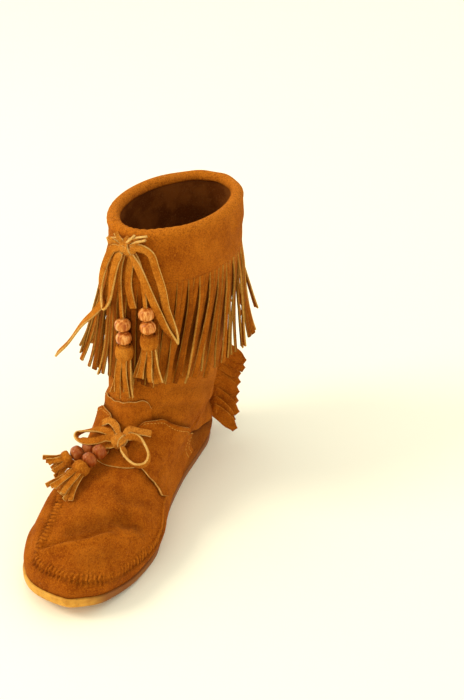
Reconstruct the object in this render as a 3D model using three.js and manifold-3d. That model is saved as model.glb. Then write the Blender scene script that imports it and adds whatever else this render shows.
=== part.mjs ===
// Fringed suede moccasin boot for the right foot, standing empty on its sole.
// Millimetres. +X runs from heel to toe, +Y is the wearer's left, the inner side
// of a right boot, and +Z is up. The upper is one hollow skin, open at the collar
// and underneath, and every overlay is worked out from the same skin.
import * as THREE from 'three';
import { mergeVertices } from 'three/addons/utils/BufferGeometryUtils.js';
import Module from 'manifold-3d';

const wasm = await Module();
wasm.setup();

// Foot sizes
const soleLength = 250;
const ballWidth = 91;
const heelWidth = 60;
const soleThickness = 5;
const toeSpring = 10;
const toeLip = 2.5;
const wallHeight = 15;
const instepHeight = 59;

// Shaft sizes
const legHeight = 223;
const collarLength = 126;
const collarWidth = 83;
const casingRadius = 4.6;

// Leather and clearances
const wall = 2;
const insoleThickness = 3;
const tongueThickness = 1.6;
const flapThickness = 1.8;
const cuffThickness = 1.8;
const backFringeThickness = 1.8;
const gap = 0.3;

// Grid of the skin
const around = 36;
const toeCrowding = 0.4;

// Sole outline. at: share of the length from the heel. inner, outer: half widths
// as shares of the local width. heel: how far the local width is the heel's.
const OUTLINE = [
  { at: 0.00, inner: 0.000, outer: 0.000, heel: 1 },
  { at: 0.02, inner: 0.233, outer: 0.250, heel: 1 },
  { at: 0.08, inner: 0.417, outer: 0.433, heel: 1 },
  { at: 0.15, inner: 0.467, outer: 0.500, heel: 1 },
  { at: 0.30, inner: 0.371, outer: 0.450, heel: 0.5 },
  { at: 0.45, inner: 0.341, outer: 0.440, heel: 0 },
  { at: 0.60, inner: 0.429, outer: 0.505, heel: 0 },
  { at: 0.70, inner: 0.484, outer: 0.516, heel: 0 },
  { at: 0.80, inner: 0.462, outer: 0.484, heel: 0 },
  { at: 0.88, inner: 0.407, outer: 0.407, heel: 0 },
  { at: 0.94, inner: 0.341, outer: 0.297, heel: 0 },
  { at: 0.98, inner: 0.231, outer: 0.154, heel: 0 },
  { at: 1.00, inner: 0.129, outer: -0.129, heel: 0 },
];

// Wall of the moccasin, from the sole to the plug seam. rise: share of the wall
// height above the sole. back, front: ends as shares of the length. inner, outer:
// half widths as shares of the outline's. lean: how much lower the inner side is
// than the middle, as a share of the wall height.
const WALL = [
  { rise: 0.00, back: 0.006, front: 0.993, inner: 0.97, outer: 0.97, lean: 0 },
  { rise: 0.35, back: 0.002, front: 0.992, inner: 1.03, outer: 1.00, lean: 0 },
  { rise: 0.73, back: 0.004, front: 0.982, inner: 1.06, outer: 0.99, lean: 0.06 },
  { rise: 0.97, back: 0.012, front: 0.962, inner: 1.05, outer: 0.94, lean: 0.15 },
];

// Plug and instep. back, front: ends as shares of the length. backRise, frontRise:
// heights of the two ends as shares of the instep height. oval: how far the
// section is the shaft's oval already.
const PLUG = [
  { back: 0.014, front: 0.922, backRise: 0.46, frontRise: 0.59, inner: 1.03, outer: 0.92, lean: 0.15, oval: 0 },
  { back: 0.014, front: 0.820, backRise: 0.53, frontRise: 0.70, inner: 1.02, outer: 0.90, lean: 0.12, oval: 0 },
  { back: 0.012, front: 0.680, backRise: 0.62, frontRise: 0.81, inner: 1.02, outer: 0.90, lean: 0.06, oval: 0.1 },
  { back: 0.010, front: 0.505, backRise: 0.76, frontRise: 1.00, inner: 1.05, outer: 0.98, lean: 0, oval: 0.5 },
];

// Shaft. middle: share of the sole length. length, width: shares of the collar's.
// backRise, frontRise: shares of the leg height. shift: share of the ball width
// towards the inner side. turn: radians.
const LEG = [
  { middle: 0.226, length: 0.90, width: 0.91, backRise: 0.30, frontRise: 0.375, shift: 0.00, turn: -0.03 },
  { middle: 0.220, length: 0.93, width: 0.95, backRise: 0.47, frontRise: 0.52, shift: 0.05, turn: -0.06 },
  { middle: 0.210, length: 0.96, width: 0.98, backRise: 0.66, frontRise: 0.70, shift: 0.09, turn: -0.10 },
  { middle: 0.200, length: 0.98, width: 0.98, backRise: 0.83, frontRise: 0.855, shift: 0.12, turn: -0.13 },
  { middle: 0.194, length: 0.93, width: 0.93, backRise: 0.92, frontRise: 0.935, shift: 0.13, turn: -0.14 },
];
const COLLAR = { middle: 0.194, shift: 0.13, turn: -0.14, pitch: 0.027 };

// Row numbers of the skin: the seam of the plug, the throat and the drawn-in
// line under the casing
const SEAM = WALL.length - 1;
const THROAT = WALL.length + PLUG.length - 1;
const GATHER = WALL.length + PLUG.length + LEG.length - 1;

// Smooth curve through values set at rising stations, never overshooting them
function smooth(stations, values, at) {
  const last = stations.length - 1;
  const x = Math.min(Math.max(at, stations[0]), stations[last]);
  let i = 0;
  while (i < last - 1 && x > stations[i + 1]) {
    i += 1;
  }
  const rate = (j) => (values[j + 1] - values[j]) / (stations[j + 1] - stations[j]);
  const slope = (j) => {
    if (j === 0) return rate(0);
    if (j === last) return rate(last - 1);
    const before = rate(j - 1);
    const after = rate(j);
    return before * after > 0 ? (2 * before * after) / (before + after) : 0;
  };
  const width = stations[i + 1] - stations[i];
  const t = (x - stations[i]) / width;
  const lead = slope(i) * width;
  const tail = slope(i + 1) * width;
  const start = values[i] * (2 * t ** 3 - 3 * t ** 2 + 1) + lead * (t ** 3 - 2 * t ** 2 + t);
  const end = values[i + 1] * (3 * t ** 2 - 2 * t ** 3) + tail * (t ** 3 - t ** 2);
  return start + end;
}

const mix = (a, b, t) => a + (b - a) * t;

function ease(low, high, x) {
  const t = Math.min(Math.max((x - low) / (high - low), 0), 1);
  return t * t * (3 - 2 * t);
}

// Half width of the sole outline at a place along the foot. The stations are
// bent so that heel and toe close in round ends.
const outlineStations = OUTLINE.map((row) => Math.acos(1 - 2 * row.at));
const outlineInner = OUTLINE.map((row) => row.inner * mix(ballWidth, heelWidth, row.heel));
const outlineOuter = OUTLINE.map((row) => row.outer * mix(ballWidth, heelWidth, row.heel));

function outlineHalf(x, inner) {
  const at = Math.min(Math.max(x / soleLength, 0), 1);
  return smooth(outlineStations, inner ? outlineInner : outlineOuter, Math.acos(1 - 2 * at));
}

// The sole is flat from the heel to the ball and springs up to the toe
const springStart = 0.72;

function soleUnder(x) {
  const t = Math.max(x / soleLength - springStart, 0) / (1 - springStart);
  return toeSpring * t * t;
}

function soleTop(x) {
  return soleThickness + soleUnder(x) + toeLip * ease(0.8, 0.98, x / soleLength);
}

// Height of the seam of the plug and of the top of the instep along the foot
const seamHeight = (x) => soleTop(x) + gap + wallHeight;
const topRows = [...PLUG].reverse();
const topStations = [...topRows.map((row) => row.front), WALL[SEAM].front];
const topRises = topRows.map((row) => row.frontRise * instepHeight);
const topHeights = [...topRises, seamHeight(WALL[SEAM].front * soleLength)];

function topHeight(x) {
  const at = x / soleLength;
  const climb = 1.3 * Math.max(topStations[0] - at, 0) * soleLength;
  return smooth(topStations, topHeights, at) + climb;
}

// Points of the oval that a leg row or the collar holds at a turn around it
function oval(turnAround, middle, length, width, shift, turn) {
  const along = (Math.cos(turnAround) * length) / 2;
  const across = (Math.sin(turnAround) * width) / 2;
  const x = middle * soleLength + along - turn * across;
  const y = shift * ballWidth + across + turn * along;
  return [x, y];
}

// One row of the skin at a turn around the boot, 0 at the toe, rising towards
// the inner side
function wallPoint(row, angle) {
  const inner = Math.sin(angle) >= 0;
  const share = (1 + Math.cos(angle)) / 2;
  const x = mix(row.back, row.front, share) * soleLength;
  const y = outlineHalf(share * soleLength, inner) * (inner ? row.inner : -row.outer);
  const rise = (row.rise - row.lean * Math.sin(angle)) * wallHeight;
  return new THREE.Vector3(x, y, soleTop(x) + gap + rise);
}

function plugPoint(row, angle) {
  const inner = Math.sin(angle) >= 0;
  const share = (1 + Math.cos(angle)) / 2;
  const x = mix(row.back, row.front, share) * soleLength;
  const z = mix(row.backRise, row.frontRise, share) * instepHeight;
  const heelPull = row.back * soleLength * Math.max(1 - x / (0.4 * soleLength), 0);
  const half = outlineHalf(x - heelPull, true) * row.inner;
  const halfOuter = outlineHalf(x - heelPull, false) * row.outer;
  const base = seamHeight(x);
  const climbed = Math.min(Math.max((z - base) / (topHeight(x) - base), 0), 1);
  const arch = Math.sqrt(1 - climbed ** 2.2);
  const ridge = (half - halfOuter) / 2;
  const reach = (arch * (half + halfOuter)) / 2;
  const footY = ridge + (inner ? reach : -reach);
  const leg = LEG[0];
  const legY = oval(angle, leg.middle, leg.length * collarLength, leg.width * collarWidth, leg.shift, leg.turn)[1];
  return new THREE.Vector3(x, mix(footY, legY, row.oval), z - row.lean * Math.sin(angle) * wallHeight);
}

function legPoint(row, angle) {
  const share = (1 + Math.cos(angle)) / 2;
  const length = row.length * collarLength;
  const [x, y] = oval(angle, row.middle, length, row.width * collarWidth, row.shift, row.turn);
  return new THREE.Vector3(x, y, mix(row.backRise, row.frontRise, share) * legHeight);
}

const rowPoints = [
  ...WALL.map((row) => (angle) => wallPoint(row, angle)),
  ...PLUG.map((row) => (angle) => plugPoint(row, angle)),
  ...LEG.map((row) => (angle) => legPoint(row, angle)),
];
const rowStations = rowPoints.map((_, index) => index);

// The skin: u runs once around from the toe over the inner side, v counts the rows
const columns = new Map();

function skin(u, v) {
  const key = Math.round((u - Math.floor(u)) * 1e6);
  if (!columns.has(key)) {
    const points = rowPoints.map((row) => row(u * Math.PI * 2));
    columns.set(key, ['x', 'y', 'z'].map((axis) => points.map((point) => point[axis])));
  }
  const [xs, ys, zs] = columns.get(key);
  const at = (values) => smooth(rowStations, values, v);
  return new THREE.Vector3(at(xs), at(ys), at(zs));
}

function skinNormal(u, v) {
  const du = 0.004;
  const dv = 0.03;
  const along = skin(u + du, v).sub(skin(u - du, v));
  const up = skin(u, Math.min(v + dv, GATHER)).sub(skin(u, Math.max(v - dv, 0)));
  return along.cross(up).normalize();
}

// A point a given distance outside the skin
function off(u, v, distance) {
  return skin(u, v).addScaledVector(skinNormal(u, v), distance);
}

// Raised puckered seam of the plug around the forefoot
const seamRidge = 1.4;

function relief(u, v) {
  const side = Math.abs(u - Math.round(u));
  const forefoot = 1 - ease(0.20, 0.27, side);
  const near = Math.max(1 - Math.abs(v - SEAM) / 0.3, 0);
  return seamRidge * forefoot * near;
}

// End of a loft: strips across the ring from its first point to the opposite one
function lid(index, start, count, down) {
  for (let i = 0; i < count / 2; i += 1) {
    const corners = [i, i + 1, count - i - 1, (count - i) % count].map((corner) => start + corner);
    const [a, b, c, d] = corners;
    const faces = [];
    if (b !== c) faces.push([a, b, c]);
    if (a !== d) faces.push([a, c, d]);
    faces.forEach(([p, q, r]) => index.push(...(down ? [r, q, p] : [p, q, r])));
  }
}

// Closed mesh from rings of equal counts. A loop of rings closes on itself, other
// lofts are closed by a strip lid at each end.
function loft(rings, looped) {
  const count = rings[0].length;
  const positions = rings.flat().flatMap((point) => [point.x, point.y, point.z]);
  const index = [];
  const spans = looped ? rings.length : rings.length - 1;
  for (let ring = 0; ring < spans; ring += 1) {
    const next = (ring + 1) % rings.length;
    for (let i = 0; i < count; i += 1) {
      const j = (i + 1) % count;
      index.push(ring * count + i, ring * count + j, next * count + j);
      index.push(ring * count + i, next * count + j, next * count + i);
    }
  }
  if (!looped) {
    lid(index, 0, count, true);
    lid(index, (rings.length - 1) * count, count, false);
  }
  const geometry = new THREE.BufferGeometry();
  geometry.setAttribute('position', new THREE.Float32BufferAttribute(positions, 3));
  geometry.setIndex(index);
  return geometry;
}

// Places around the boot, closer together at the toe and the heel
const turns = Array.from({ length: around }, (_, i) => {
  const even = i / around;
  return even - (toeCrowding * Math.sin(4 * Math.PI * even)) / (4 * Math.PI);
});

// Sole: flat tread, rounded lower edge, slightly drawn-in side and a lip at the toe
function outsoleGeometry() {
  const edge = [
    { inset: 2.0, rise: 0 },
    { inset: 0.4, rise: 0.22 },
    { inset: 0.0, rise: 0.55 },
    { inset: 0.5, rise: 1 },
  ];
  const ring = ({ inset, rise }) => turns.map((u) => {
    const angle = u * Math.PI * 2;
    const inner = Math.sin(angle) >= 0;
    const share = (1 + Math.cos(angle)) / 2;
    const half = outlineHalf(share * soleLength, inner) * (inner ? 1 : -1);
    const x = mix(inset, soleLength - inset, share);
    const y = half * (1 - (2 * inset) / ballWidth);
    return new THREE.Vector3(x, y, mix(soleUnder(x), soleTop(x), rise));
  });
  return loft(edge.map(ring), false);
}

// Insole: lies on the sole inside the upper's wall
function insoleGeometry() {
  const ring = (inset, rise) => turns.map((u) => {
    const point = skin(u, 0);
    const out = skinNormal(u, 0).setZ(0).normalize();
    point.addScaledVector(out, -(wall + gap + inset));
    return point.setZ(soleTop(point.x) + gap + rise);
  });
  return loft([ring(0.3, 0), ring(0.2, insoleThickness * 0.6), ring(1, insoleThickness)], false);
}

// Upper: outer skin up to the drawn-in line, the rolled casing, and the inner
// skin back down to the sole
const outerRows = [
  0, 0.6, 1.2, 1.8, 2.4, SEAM - 0.3, SEAM, SEAM + 0.3, 3.6, 4.2, 4.8, 5.4, 6, 6.5,
  THROAT, 7.4, 7.8, 8.4, 9, 9.8, 10.6, 11.2, 11.6, GATHER,
];
const innerRows = [GATHER, 11.2, 10.2, 9, 8, 7.4, THROAT, 6.4, 5.5, 4.4, 3.4, 2, 0.8, 0];
const casingAngles = [-35, 10, 55, 100, 145, 200];

function casingPoint(u, degrees) {
  const angle = u * Math.PI * 2;
  const length = collarLength - 2 * casingRadius;
  const width = collarWidth - 2 * casingRadius;
  const [x, y] = oval(angle, COLLAR.middle, length, width, COLLAR.shift, COLLAR.turn);
  const out = new THREE.Vector3(Math.cos(angle) / length, Math.sin(angle) / width, 0).normalize();
  const lean = (Math.cos(angle) * length * COLLAR.pitch) / 2;
  const centre = new THREE.Vector3(x, y, legHeight - casingRadius + lean);
  const swing = (degrees * Math.PI) / 180;
  centre.addScaledVector(out, casingRadius * Math.cos(swing));
  centre.z += casingRadius * Math.sin(swing);
  return centre;
}

function upperGeometry() {
  const outer = outerRows.map((v) => turns.map((u) => off(u, v, relief(u, v))));
  const casing = casingAngles.map((degrees) => turns.map((u) => casingPoint(u, degrees)));
  const inner = innerRows.map((v) => turns.map((u) => off(u, v, -wall)));
  inner[inner.length - 1].forEach((point) => {
    point.z = soleTop(point.x) + gap;
  });
  return loft([...outer, ...casing, ...inner], true);
}

// Solids for cutting and joining
function solid(geometry) {
  const bare = geometry.clone();
  bare.deleteAttribute('normal');
  bare.deleteAttribute('uv');
  const merged = mergeVertices(bare, 1e-4);
  const vertProperties = new Float32Array(merged.attributes.position.array);
  const triVerts = new Uint32Array(merged.index.array);
  return new wasm.Manifold(new wasm.Mesh({ numProp: 3, vertProperties, triVerts }));
}

function surface(manifold) {
  const mesh = manifold.getMesh();
  const geometry = new THREE.BufferGeometry();
  geometry.setAttribute('position', new THREE.BufferAttribute(new Float32Array(mesh.vertProperties), 3));
  geometry.setIndex(new THREE.BufferAttribute(new Uint32Array(mesh.triVerts), 1));
  return geometry;
}

// The outer form of the upper, grown by a distance, which the overlays are cut with
function skinForm(distance) {
  return solid(loft(outerRows.map((v) => turns.map((u) => off(u, v, relief(u, v) + distance))), false));
}

const clearForm = skinForm(gap);
const sunk = 1;

// Solid of a vertex grid that lies on the skin: an under face, an upper face and
// the rim between them. place(a, b) gives { u, v, low, high }.
function overlay(columnsCount, rowsCount, place) {
  const under = [];
  const over = [];
  for (let i = 0; i <= columnsCount; i += 1) {
    for (let j = 0; j <= rowsCount; j += 1) {
      const { u, v, low, high } = place(i / columnsCount, j / rowsCount);
      under.push(off(u, v, low));
      over.push(off(u, v, high));
    }
  }
  const at = (i, j, top) => i * (rowsCount + 1) + j + (top ? over.length : 0);
  const index = [];
  const quad = (a, b, c, d) => index.push(a, b, c, a, c, d);
  for (let i = 0; i < columnsCount; i += 1) {
    for (let j = 0; j < rowsCount; j += 1) {
      quad(at(i, j, true), at(i + 1, j, true), at(i + 1, j + 1, true), at(i, j + 1, true));
      quad(at(i, j), at(i, j + 1), at(i + 1, j + 1), at(i + 1, j));
    }
  }
  for (let i = 0; i < columnsCount; i += 1) {
    quad(at(i, 0), at(i + 1, 0), at(i + 1, 0, true), at(i, 0, true));
    quad(at(i, rowsCount, true), at(i + 1, rowsCount, true), at(i + 1, rowsCount), at(i, rowsCount));
  }
  for (let j = 0; j < rowsCount; j += 1) {
    quad(at(0, j), at(0, j, true), at(0, j + 1, true), at(0, j + 1));
    quad(at(columnsCount, j, true), at(columnsCount, j), at(columnsCount, j + 1), at(columnsCount, j + 1, true));
  }
  const geometry = new THREE.BufferGeometry();
  const positions = [...under, ...over].flatMap((point) => [point.x, point.y, point.z]);
  geometry.setAttribute('position', new THREE.Float32BufferAttribute(positions, 3));
  geometry.setIndex(index);
  return geometry;
}

// Tongue: tab on the front of the shaft, from the throat to above the flaps.
// left, right: its sides around the boot, on the outer and inner side.
const TONGUE = { left: -0.115, right: 0.062, low: THROAT - 0.55, high: THROAT + 1.22, drop: 0.18 };

function tongueBlock(grown) {
  const high = gap + tongueThickness + grown;
  const spreadU = (1.5 * grown) / (Math.PI * collarLength);
  const spreadV = 0.05 * grown;
  return solid(overlay(6, 5, (a, b) => {
    const u = mix(TONGUE.left - spreadU, TONGUE.right + spreadU, a);
    const corner = TONGUE.drop * (1 - ease(0, 0.22, a)) + TONGUE.drop * ease(0.86, 1, a);
    const v = mix(TONGUE.low - spreadV, TONGUE.high + spreadV - corner, b);
    return { u, v, low: -sunk - grown, high };
  }));
}

// Ankle flap of the inner side, column by column from its back edge to its tip in
// front. lowU, lowV: lower edge, along the plug seam and then the raw front edge.
// topU, topV: upper edge. The outer flap mirrors it.
const FLAP = [
  { lowU: 0.320, lowV: 3.40, topU: 0.292, topV: 5.65 },
  { lowU: 0.290, lowV: 3.36, topU: 0.235, topV: 6.55 },
  { lowU: 0.255, lowV: 3.36, topU: 0.180, topV: 7.10 },
  { lowU: 0.228, lowV: 3.70, topU: 0.130, topV: 7.42 },
  { lowU: 0.160, lowV: 5.60, topU: 0.090, topV: 7.64 },
  { lowU: 0.080, lowV: 6.38, topU: 0.055, topV: 7.62 },
  { lowU: 0.020, lowV: 6.62, topU: 0.026, topV: 7.36 },
];
const flapStations = FLAP.map((_, index) => index);

function flapForm(side) {
  const flap = overlay(9, 7, (a, b) => {
    const across = side > 0 ? 1 - a : a;
    const at = (column) => smooth(flapStations, FLAP.map((row) => row[column]), across * (FLAP.length - 1));
    const u = mix(at('lowU'), at('topU'), b);
    const v = mix(at('lowV'), at('topV'), b);
    const lift = (tongueThickness + gap) * (1 - ease(0.13, 0.2, u)) * ease(5.2, 6.1, v);
    return { u: side * u, v, low: lift - sunk, high: gap + lift + flapThickness };
  });
  return solid(flap).subtract(clearForm).subtract(tongueBlock(gap));
}

// Fringed cuff: a band under the casing, and its cut strips hanging from it.
// Heights are rows of the skin.
const CUFF = { top: GATHER - 0.1, cut: 10.85, end: 8.8, strips: 44, stripWidth: 6.2 };

// How far the strips stand off at their ends around the boot, in turns
const FLARE = [
  { u: 0.00, out: 4 }, { u: 0.10, out: 4 }, { u: 0.20, out: 6 }, { u: 0.28, out: 10 },
  { u: 0.35, out: 19 }, { u: 0.42, out: 31 }, { u: 0.47, out: 29 }, { u: 0.53, out: 17 },
  { u: 0.62, out: 8 }, { u: 0.72, out: 8 }, { u: 0.80, out: 10 }, { u: 0.88, out: 7 },
  { u: 1.00, out: 4 },
];

// A repeatable spread between 0 and 1 for each strip
function scatter(strip, seed) {
  const value = Math.sin(strip * 127.1 + seed * 311.7) * 43758.5453;
  return value - Math.floor(value);
}

// Strip of leather: a flat section carried through places given by place(t), each
// with a centre, a direction across the strip and a direction out of its face
function strip(steps, width, thickness, place) {
  const rings = Array.from({ length: steps + 1 }, (_, i) => {
    const { centre, across, out, taper } = place(i / steps);
    const a = across.clone().multiplyScalar((width * taper) / 2);
    const b = out.clone().multiplyScalar(thickness / 2);
    return [[1, 1], [-1, 1], [-1, -1], [1, -1]].map(([p, q]) => (
      centre.clone().addScaledVector(a, p).addScaledVector(b, q)
    ));
  });
  return solid(loft(rings, false));
}

function across(u, v) {
  return skin(u + 0.004, v).sub(skin(u - 0.004, v)).normalize();
}

function cuffForm() {
  const bandRows = [0, 0.5, 1].map((t) => mix(CUFF.cut, CUFF.top, t));
  const ring = (v, distance) => turns.map((u) => off(u, v, distance));
  const outside = bandRows.map((v) => ring(v, gap + cuffThickness));
  const inside = [...bandRows].reverse().map((v) => ring(v, -sunk));
  const band = solid(loft([...outside, ...inside], true)).subtract(clearForm);
  const middle = gap + cuffThickness / 2;
  const flares = FLARE.map((row) => row.out);
  const flareStations = FLARE.map((row) => row.u);
  let form = band;
  for (let i = 0; i < CUFF.strips; i += 1) {
    const root = (i + 0.5) / CUFF.strips;
    const out = smooth(flareStations, flares, root) * (0.75 + 0.5 * scatter(i, 1));
    const sway = 0.016 * (scatter(i, 2) - 0.5);
    const end = CUFF.end + 0.006 * out + 0.22 * (scatter(i, 3) - 0.5);
    form = form.add(strip(3, CUFF.stripWidth, cuffThickness - 0.2, (t) => {
      const u = root + sway * t * t;
      const v = mix(CUFF.cut + 0.08, end, t);
      const centre = off(u, v, middle + 0.4 * ease(0, 0.3, t) + out * t ** 1.7);
      return { centre, across: across(u, v), out: skinNormal(u, v), taper: 1 };
    }));
  }
  return form;
}

// Back fringe: a strip sewn into the shaft's back seam, cut into feathers that
// point down and back
const FEATHERS = { u: 0.405, top: 8.5, bottom: 3.75, count: 8, reach: 24, droop: 17, root: 5 };

function backFringeForm() {
  const spacing = (FEATHERS.top - FEATHERS.bottom) / FEATHERS.count;
  const featherRows = Array.from({ length: FEATHERS.count }, (_, i) => FEATHERS.top - (i + 0.5) * spacing);
  const hem = strip(FEATHERS.count, FEATHERS.root, backFringeThickness, (t) => {
    const v = mix(FEATHERS.bottom, FEATHERS.top, t);
    const out = skinNormal(FEATHERS.u, v);
    const centre = off(FEATHERS.u, v, 2 * gap + FEATHERS.root / 2);
    return { centre, across: out, out: across(FEATHERS.u, v), taper: 1 };
  });
  return featherRows.reduce((form, v, i) => {
    const step = skin(FEATHERS.u, v + spacing / 2).distanceTo(skin(FEATHERS.u, v - spacing / 2));
    const reach = FEATHERS.reach * (0.9 + 0.2 * scatter(i, 4)) * (1.08 - (0.2 * i) / FEATHERS.count);
    return form.add(strip(2, step * 0.92, backFringeThickness - 0.2, (t) => {
      const out = skinNormal(FEATHERS.u, v);
      const side = across(FEATHERS.u, v);
      const centre = off(FEATHERS.u, v, 2 * gap + 2 + reach * t);
      centre.z -= FEATHERS.droop * t ** 1.5;
      centre.addScaledVector(side, 5 * (scatter(i, 5) - 0.5) * t);
      const slope = (FEATHERS.droop * 1.5 * Math.sqrt(t)) / reach;
      const fall = new THREE.Vector3(0, 0, -1).addScaledVector(out, -slope).normalize();
      return { centre, across: fall, out: side, taper: 1 - 0.45 * ease(0.5, 1, t) };
    }));
  }, hem);
}

// Ties: leather thongs, their knots, beads and tassels
const thongWidth = 5.4;
const thongThickness = 1.8;
const cordWidth = 2.6;
const beadDiameter = 10.6;
const beadLength = 9.4;
const tasselDiameter = 11;
const tasselHead = 12;
const tasselStrips = 5;

// A thong's points are a hand list: x, y and z from the heel, and the turn of its
// face about the line, in degrees, from facing away from the boot
const COLLAR_TIE = {
  knot: { at: [115.5, 4.5, 214.5], half: [4.4, 6.5, 5.5] },
  stubs: [
    { points: [[113, 0, 216, 0], [112.5, -5, 216, 0], [109, -13, 213, 0]], steps: 2 },
    { points: [[113, 8, 215, 0], [113.3, 12, 213.5, 0], [112, 16, 212.5, 0]], steps: 2 },
    { points: [[117, 6, 219, 0], [118, 13, 226.5, 0], [116, 20, 229.5, 0]], steps: 3 },
    { points: [[117, 3, 218, 0], [118, 1, 223, 0], [117, 0, 228, 0]], steps: 2 },
  ],
  thongs: [
    {
      name: 'loop_left',
      steps: 14,
      points: [
        [119, 2, 215, 0], [117, -5, 212.5, 0], [113, -13.5, 199, 0], [112.5, -17.5, 184.5, 10],
        [114.5, -17.5, 172, 45], [117, -14.5, 164.5, 90], [119, -10.5, 172, 135], [118.5, -6.5, 190, 170],
        [117, -3, 204, 180], [118.5, 1, 211, 180],
      ],
    },
    {
      name: 'loop_right',
      steps: 16,
      points: [
        [119, 8.5, 215.5, 0], [118, 15.5, 216.5, 0], [115.5, 21.5, 211.5, 0], [114.5, 24.5, 201.5, 0],
        [114.5, 29, 186, 0], [114, 31, 171, 0], [112.5, 35.5, 155, 30], [111, 37.5, 144, 90],
        [115.5, 33, 152.5, 150], [118, 27, 168.5, 180], [119, 21, 184, 180], [118.5, 13.5, 200.5, 180],
        [118.5, 8.5, 210.5, 180],
      ],
    },
    {
      name: 'end_middle',
      steps: 5,
      points: [[114.5, 4.8, 209, 0], [113.3, 6, 205, 0], [114.8, 4.5, 195, 0], [116.5, 5, 180, 0], [117.5, 8, 169, 0]],
    },
    {
      name: 'end_long',
      steps: 9,
      points: [
        [115, -1.5, 211.5, 0], [112, -8, 202, 0], [111.5, -12.5, 183, 0], [111, -17.5, 167, 0],
        [111.5, -25, 157, 0], [110, -36, 144, 0], [107, -50, 125, 0], [104, -64, 108, 0],
      ],
    },
  ],
  trims: [
    {
      cord: [[114, 1.4, 209, 0], [113, -1.5, 200.5, 0], [114.5, -2.5, 191, 0], [117.5, -1.5, 179, 0]],
      width: cordWidth,
      steps: 5,
      bead: [122.5, 1.5, 157],
      next: [123.8, 2.5, 146.6],
      end: [124, -1.5, 96],
      spread: 20,
    },
    {
      cord: [[114, 9, 209.5, 0], [113.5, 11.8, 202, 0], [115, 14, 191, 0], [117.5, 16.5, 180, 0]],
      width: cordWidth,
      steps: 4,
      bead: [120.3, 18.8, 167.8],
      next: [121.5, 20.2, 157.5],
      end: [122.5, 19, 112],
      spread: 22,
    },
  ],
};
const ANKLE_TIE = {
  knot: { at: [133, -0.5, 65.5], half: [5, 6, 4.6] },
  stubs: [
    { points: [[131, -2, 67.5, 0], [125.5, -7, 71, 0], [121.5, -14, 71.5, 0], [121.5, -20, 68, 0]], steps: 4 },
    { points: [[131, 1, 67, 0], [126, 4, 71, 0], [123.5, 11, 69.5, 0], [120.5, 19, 67.5, 0]], steps: 4 },
  ],
  thongs: [
    {
      name: 'loop_left',
      steps: 12,
      points: [
        [135.5, -4, 66.5, 0], [137, -9, 67.5, 0], [143, -14.5, 68, 0], [145, -21.5, 67, 0],
        [141, -31, 64, 60], [131, -36, 60.5, 90], [127.5, -31, 62.5, 120], [127, -21.5, 66, 160],
        [130, -11, 68, 180], [132.5, -5.5, 68, 180],
      ],
    },
    {
      name: 'loop_right',
      steps: 12,
      points: [
        [133, 4, 68, 0], [130.5, 8, 69, 30], [130, 13, 68.5, 60], [132, 20, 65, 90],
        [137, 24.5, 61, 90], [143.5, 24, 57.5, 90], [147.5, 19, 57, 90], [146.5, 13, 59, 90],
        [142, 7.5, 61.5, 60], [138.5, 3.5, 64, 30],
      ],
    },
  ],
  trims: [
    {
      cord: [[135, -2.5, 64, 0], [137.5, -5, 63, 0]],
      width: thongWidth,
      steps: 2,
      bead: [146.5, -10.5, 61.5],
      next: [156, -15, 59],
      end: [186, -23, 50],
      spread: 18,
    },
    {
      cord: [[133, -5, 65, 0], [134.5, -11.5, 64, 0]],
      width: cordWidth,
      steps: 2,
      bead: [143, -20.8, 60.8],
      next: [148.3, -27.2, 57.5],
      end: [161, -37, 51.5],
      spread: 16,
    },
  ],
};

// A thong along its points, its face turned as they say
function thong(points, width, thickness, steps, away) {
  const curve = new THREE.CatmullRomCurve3(points.map(([x, y, z]) => new THREE.Vector3(x, y, z)));
  const rolls = points.map((point) => (point[3] * Math.PI) / 180);
  const stations = points.map((_, index) => index);
  return strip(steps, width, thickness, (t) => {
    const centre = curve.getPoint(t);
    const tangent = curve.getTangent(t);
    const side = new THREE.Vector3().crossVectors(away(centre), tangent).normalize();
    side.applyAxisAngle(tangent, smooth(stations, rolls, t * (points.length - 1)));
    const out = new THREE.Vector3().crossVectors(tangent, side);
    const squeezed = 0.55 + 0.45 * ease(0, 0.08, t) * ease(0, 0.08, 1 - t);
    return { centre, across: side, out, taper: squeezed };
  });
}

const vector = ([x, y, z]) => new THREE.Vector3(x, y, z);

// Straight out from the shaft's middle line, and up from the instep
const fromShaft = (point) => vector([point.x - COLLAR.middle * soleLength, point.y - COLLAR.shift * ballWidth, 0]);
const fromInstep = () => vector([0.5, 0, 0.87]);

// Rounded form between two points: the radii along it, at even steps
function turned(from, to, radii, sides) {
  const profile = radii.map((radius, i) => new THREE.Vector2(radius, i / (radii.length - 1)));
  const geometry = new THREE.LatheGeometry(profile, sides);
  const span = to.clone().sub(from);
  geometry.scale(1, span.length(), 1);
  geometry.applyQuaternion(new THREE.Quaternion().setFromUnitVectors(new THREE.Vector3(0, 1, 0), span.normalize()));
  geometry.translate(from.x, from.y, from.z);
  return geometry;
}

function knotForm({ at, half }, grown) {
  const knot = new THREE.SphereGeometry(1, 9, 6);
  knot.scale(half[0] + grown, half[1] + grown, half[2] + grown);
  knot.translate(at[0], at[1], at[2]);
  return solid(knot);
}

// Knot with the stubs of the thong that run into the slots or stand out short
function tieForm(tie, away) {
  const knot = knotForm(tie.knot, 0);
  return tie.stubs.reduce((form, { points, steps }) => (
    form.add(thong(points, thongWidth, thongThickness, steps, away))
  ), knot);
}

function beadGeometry(at, axis) {
  const half = axis.clone().multiplyScalar(beadLength / 2);
  const radii = [0, 0.72, 1, 0.72, 0].map((share) => (share * beadDiameter) / 2);
  return turned(at.clone().sub(half), at.clone().add(half), radii, 10);
}

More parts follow.
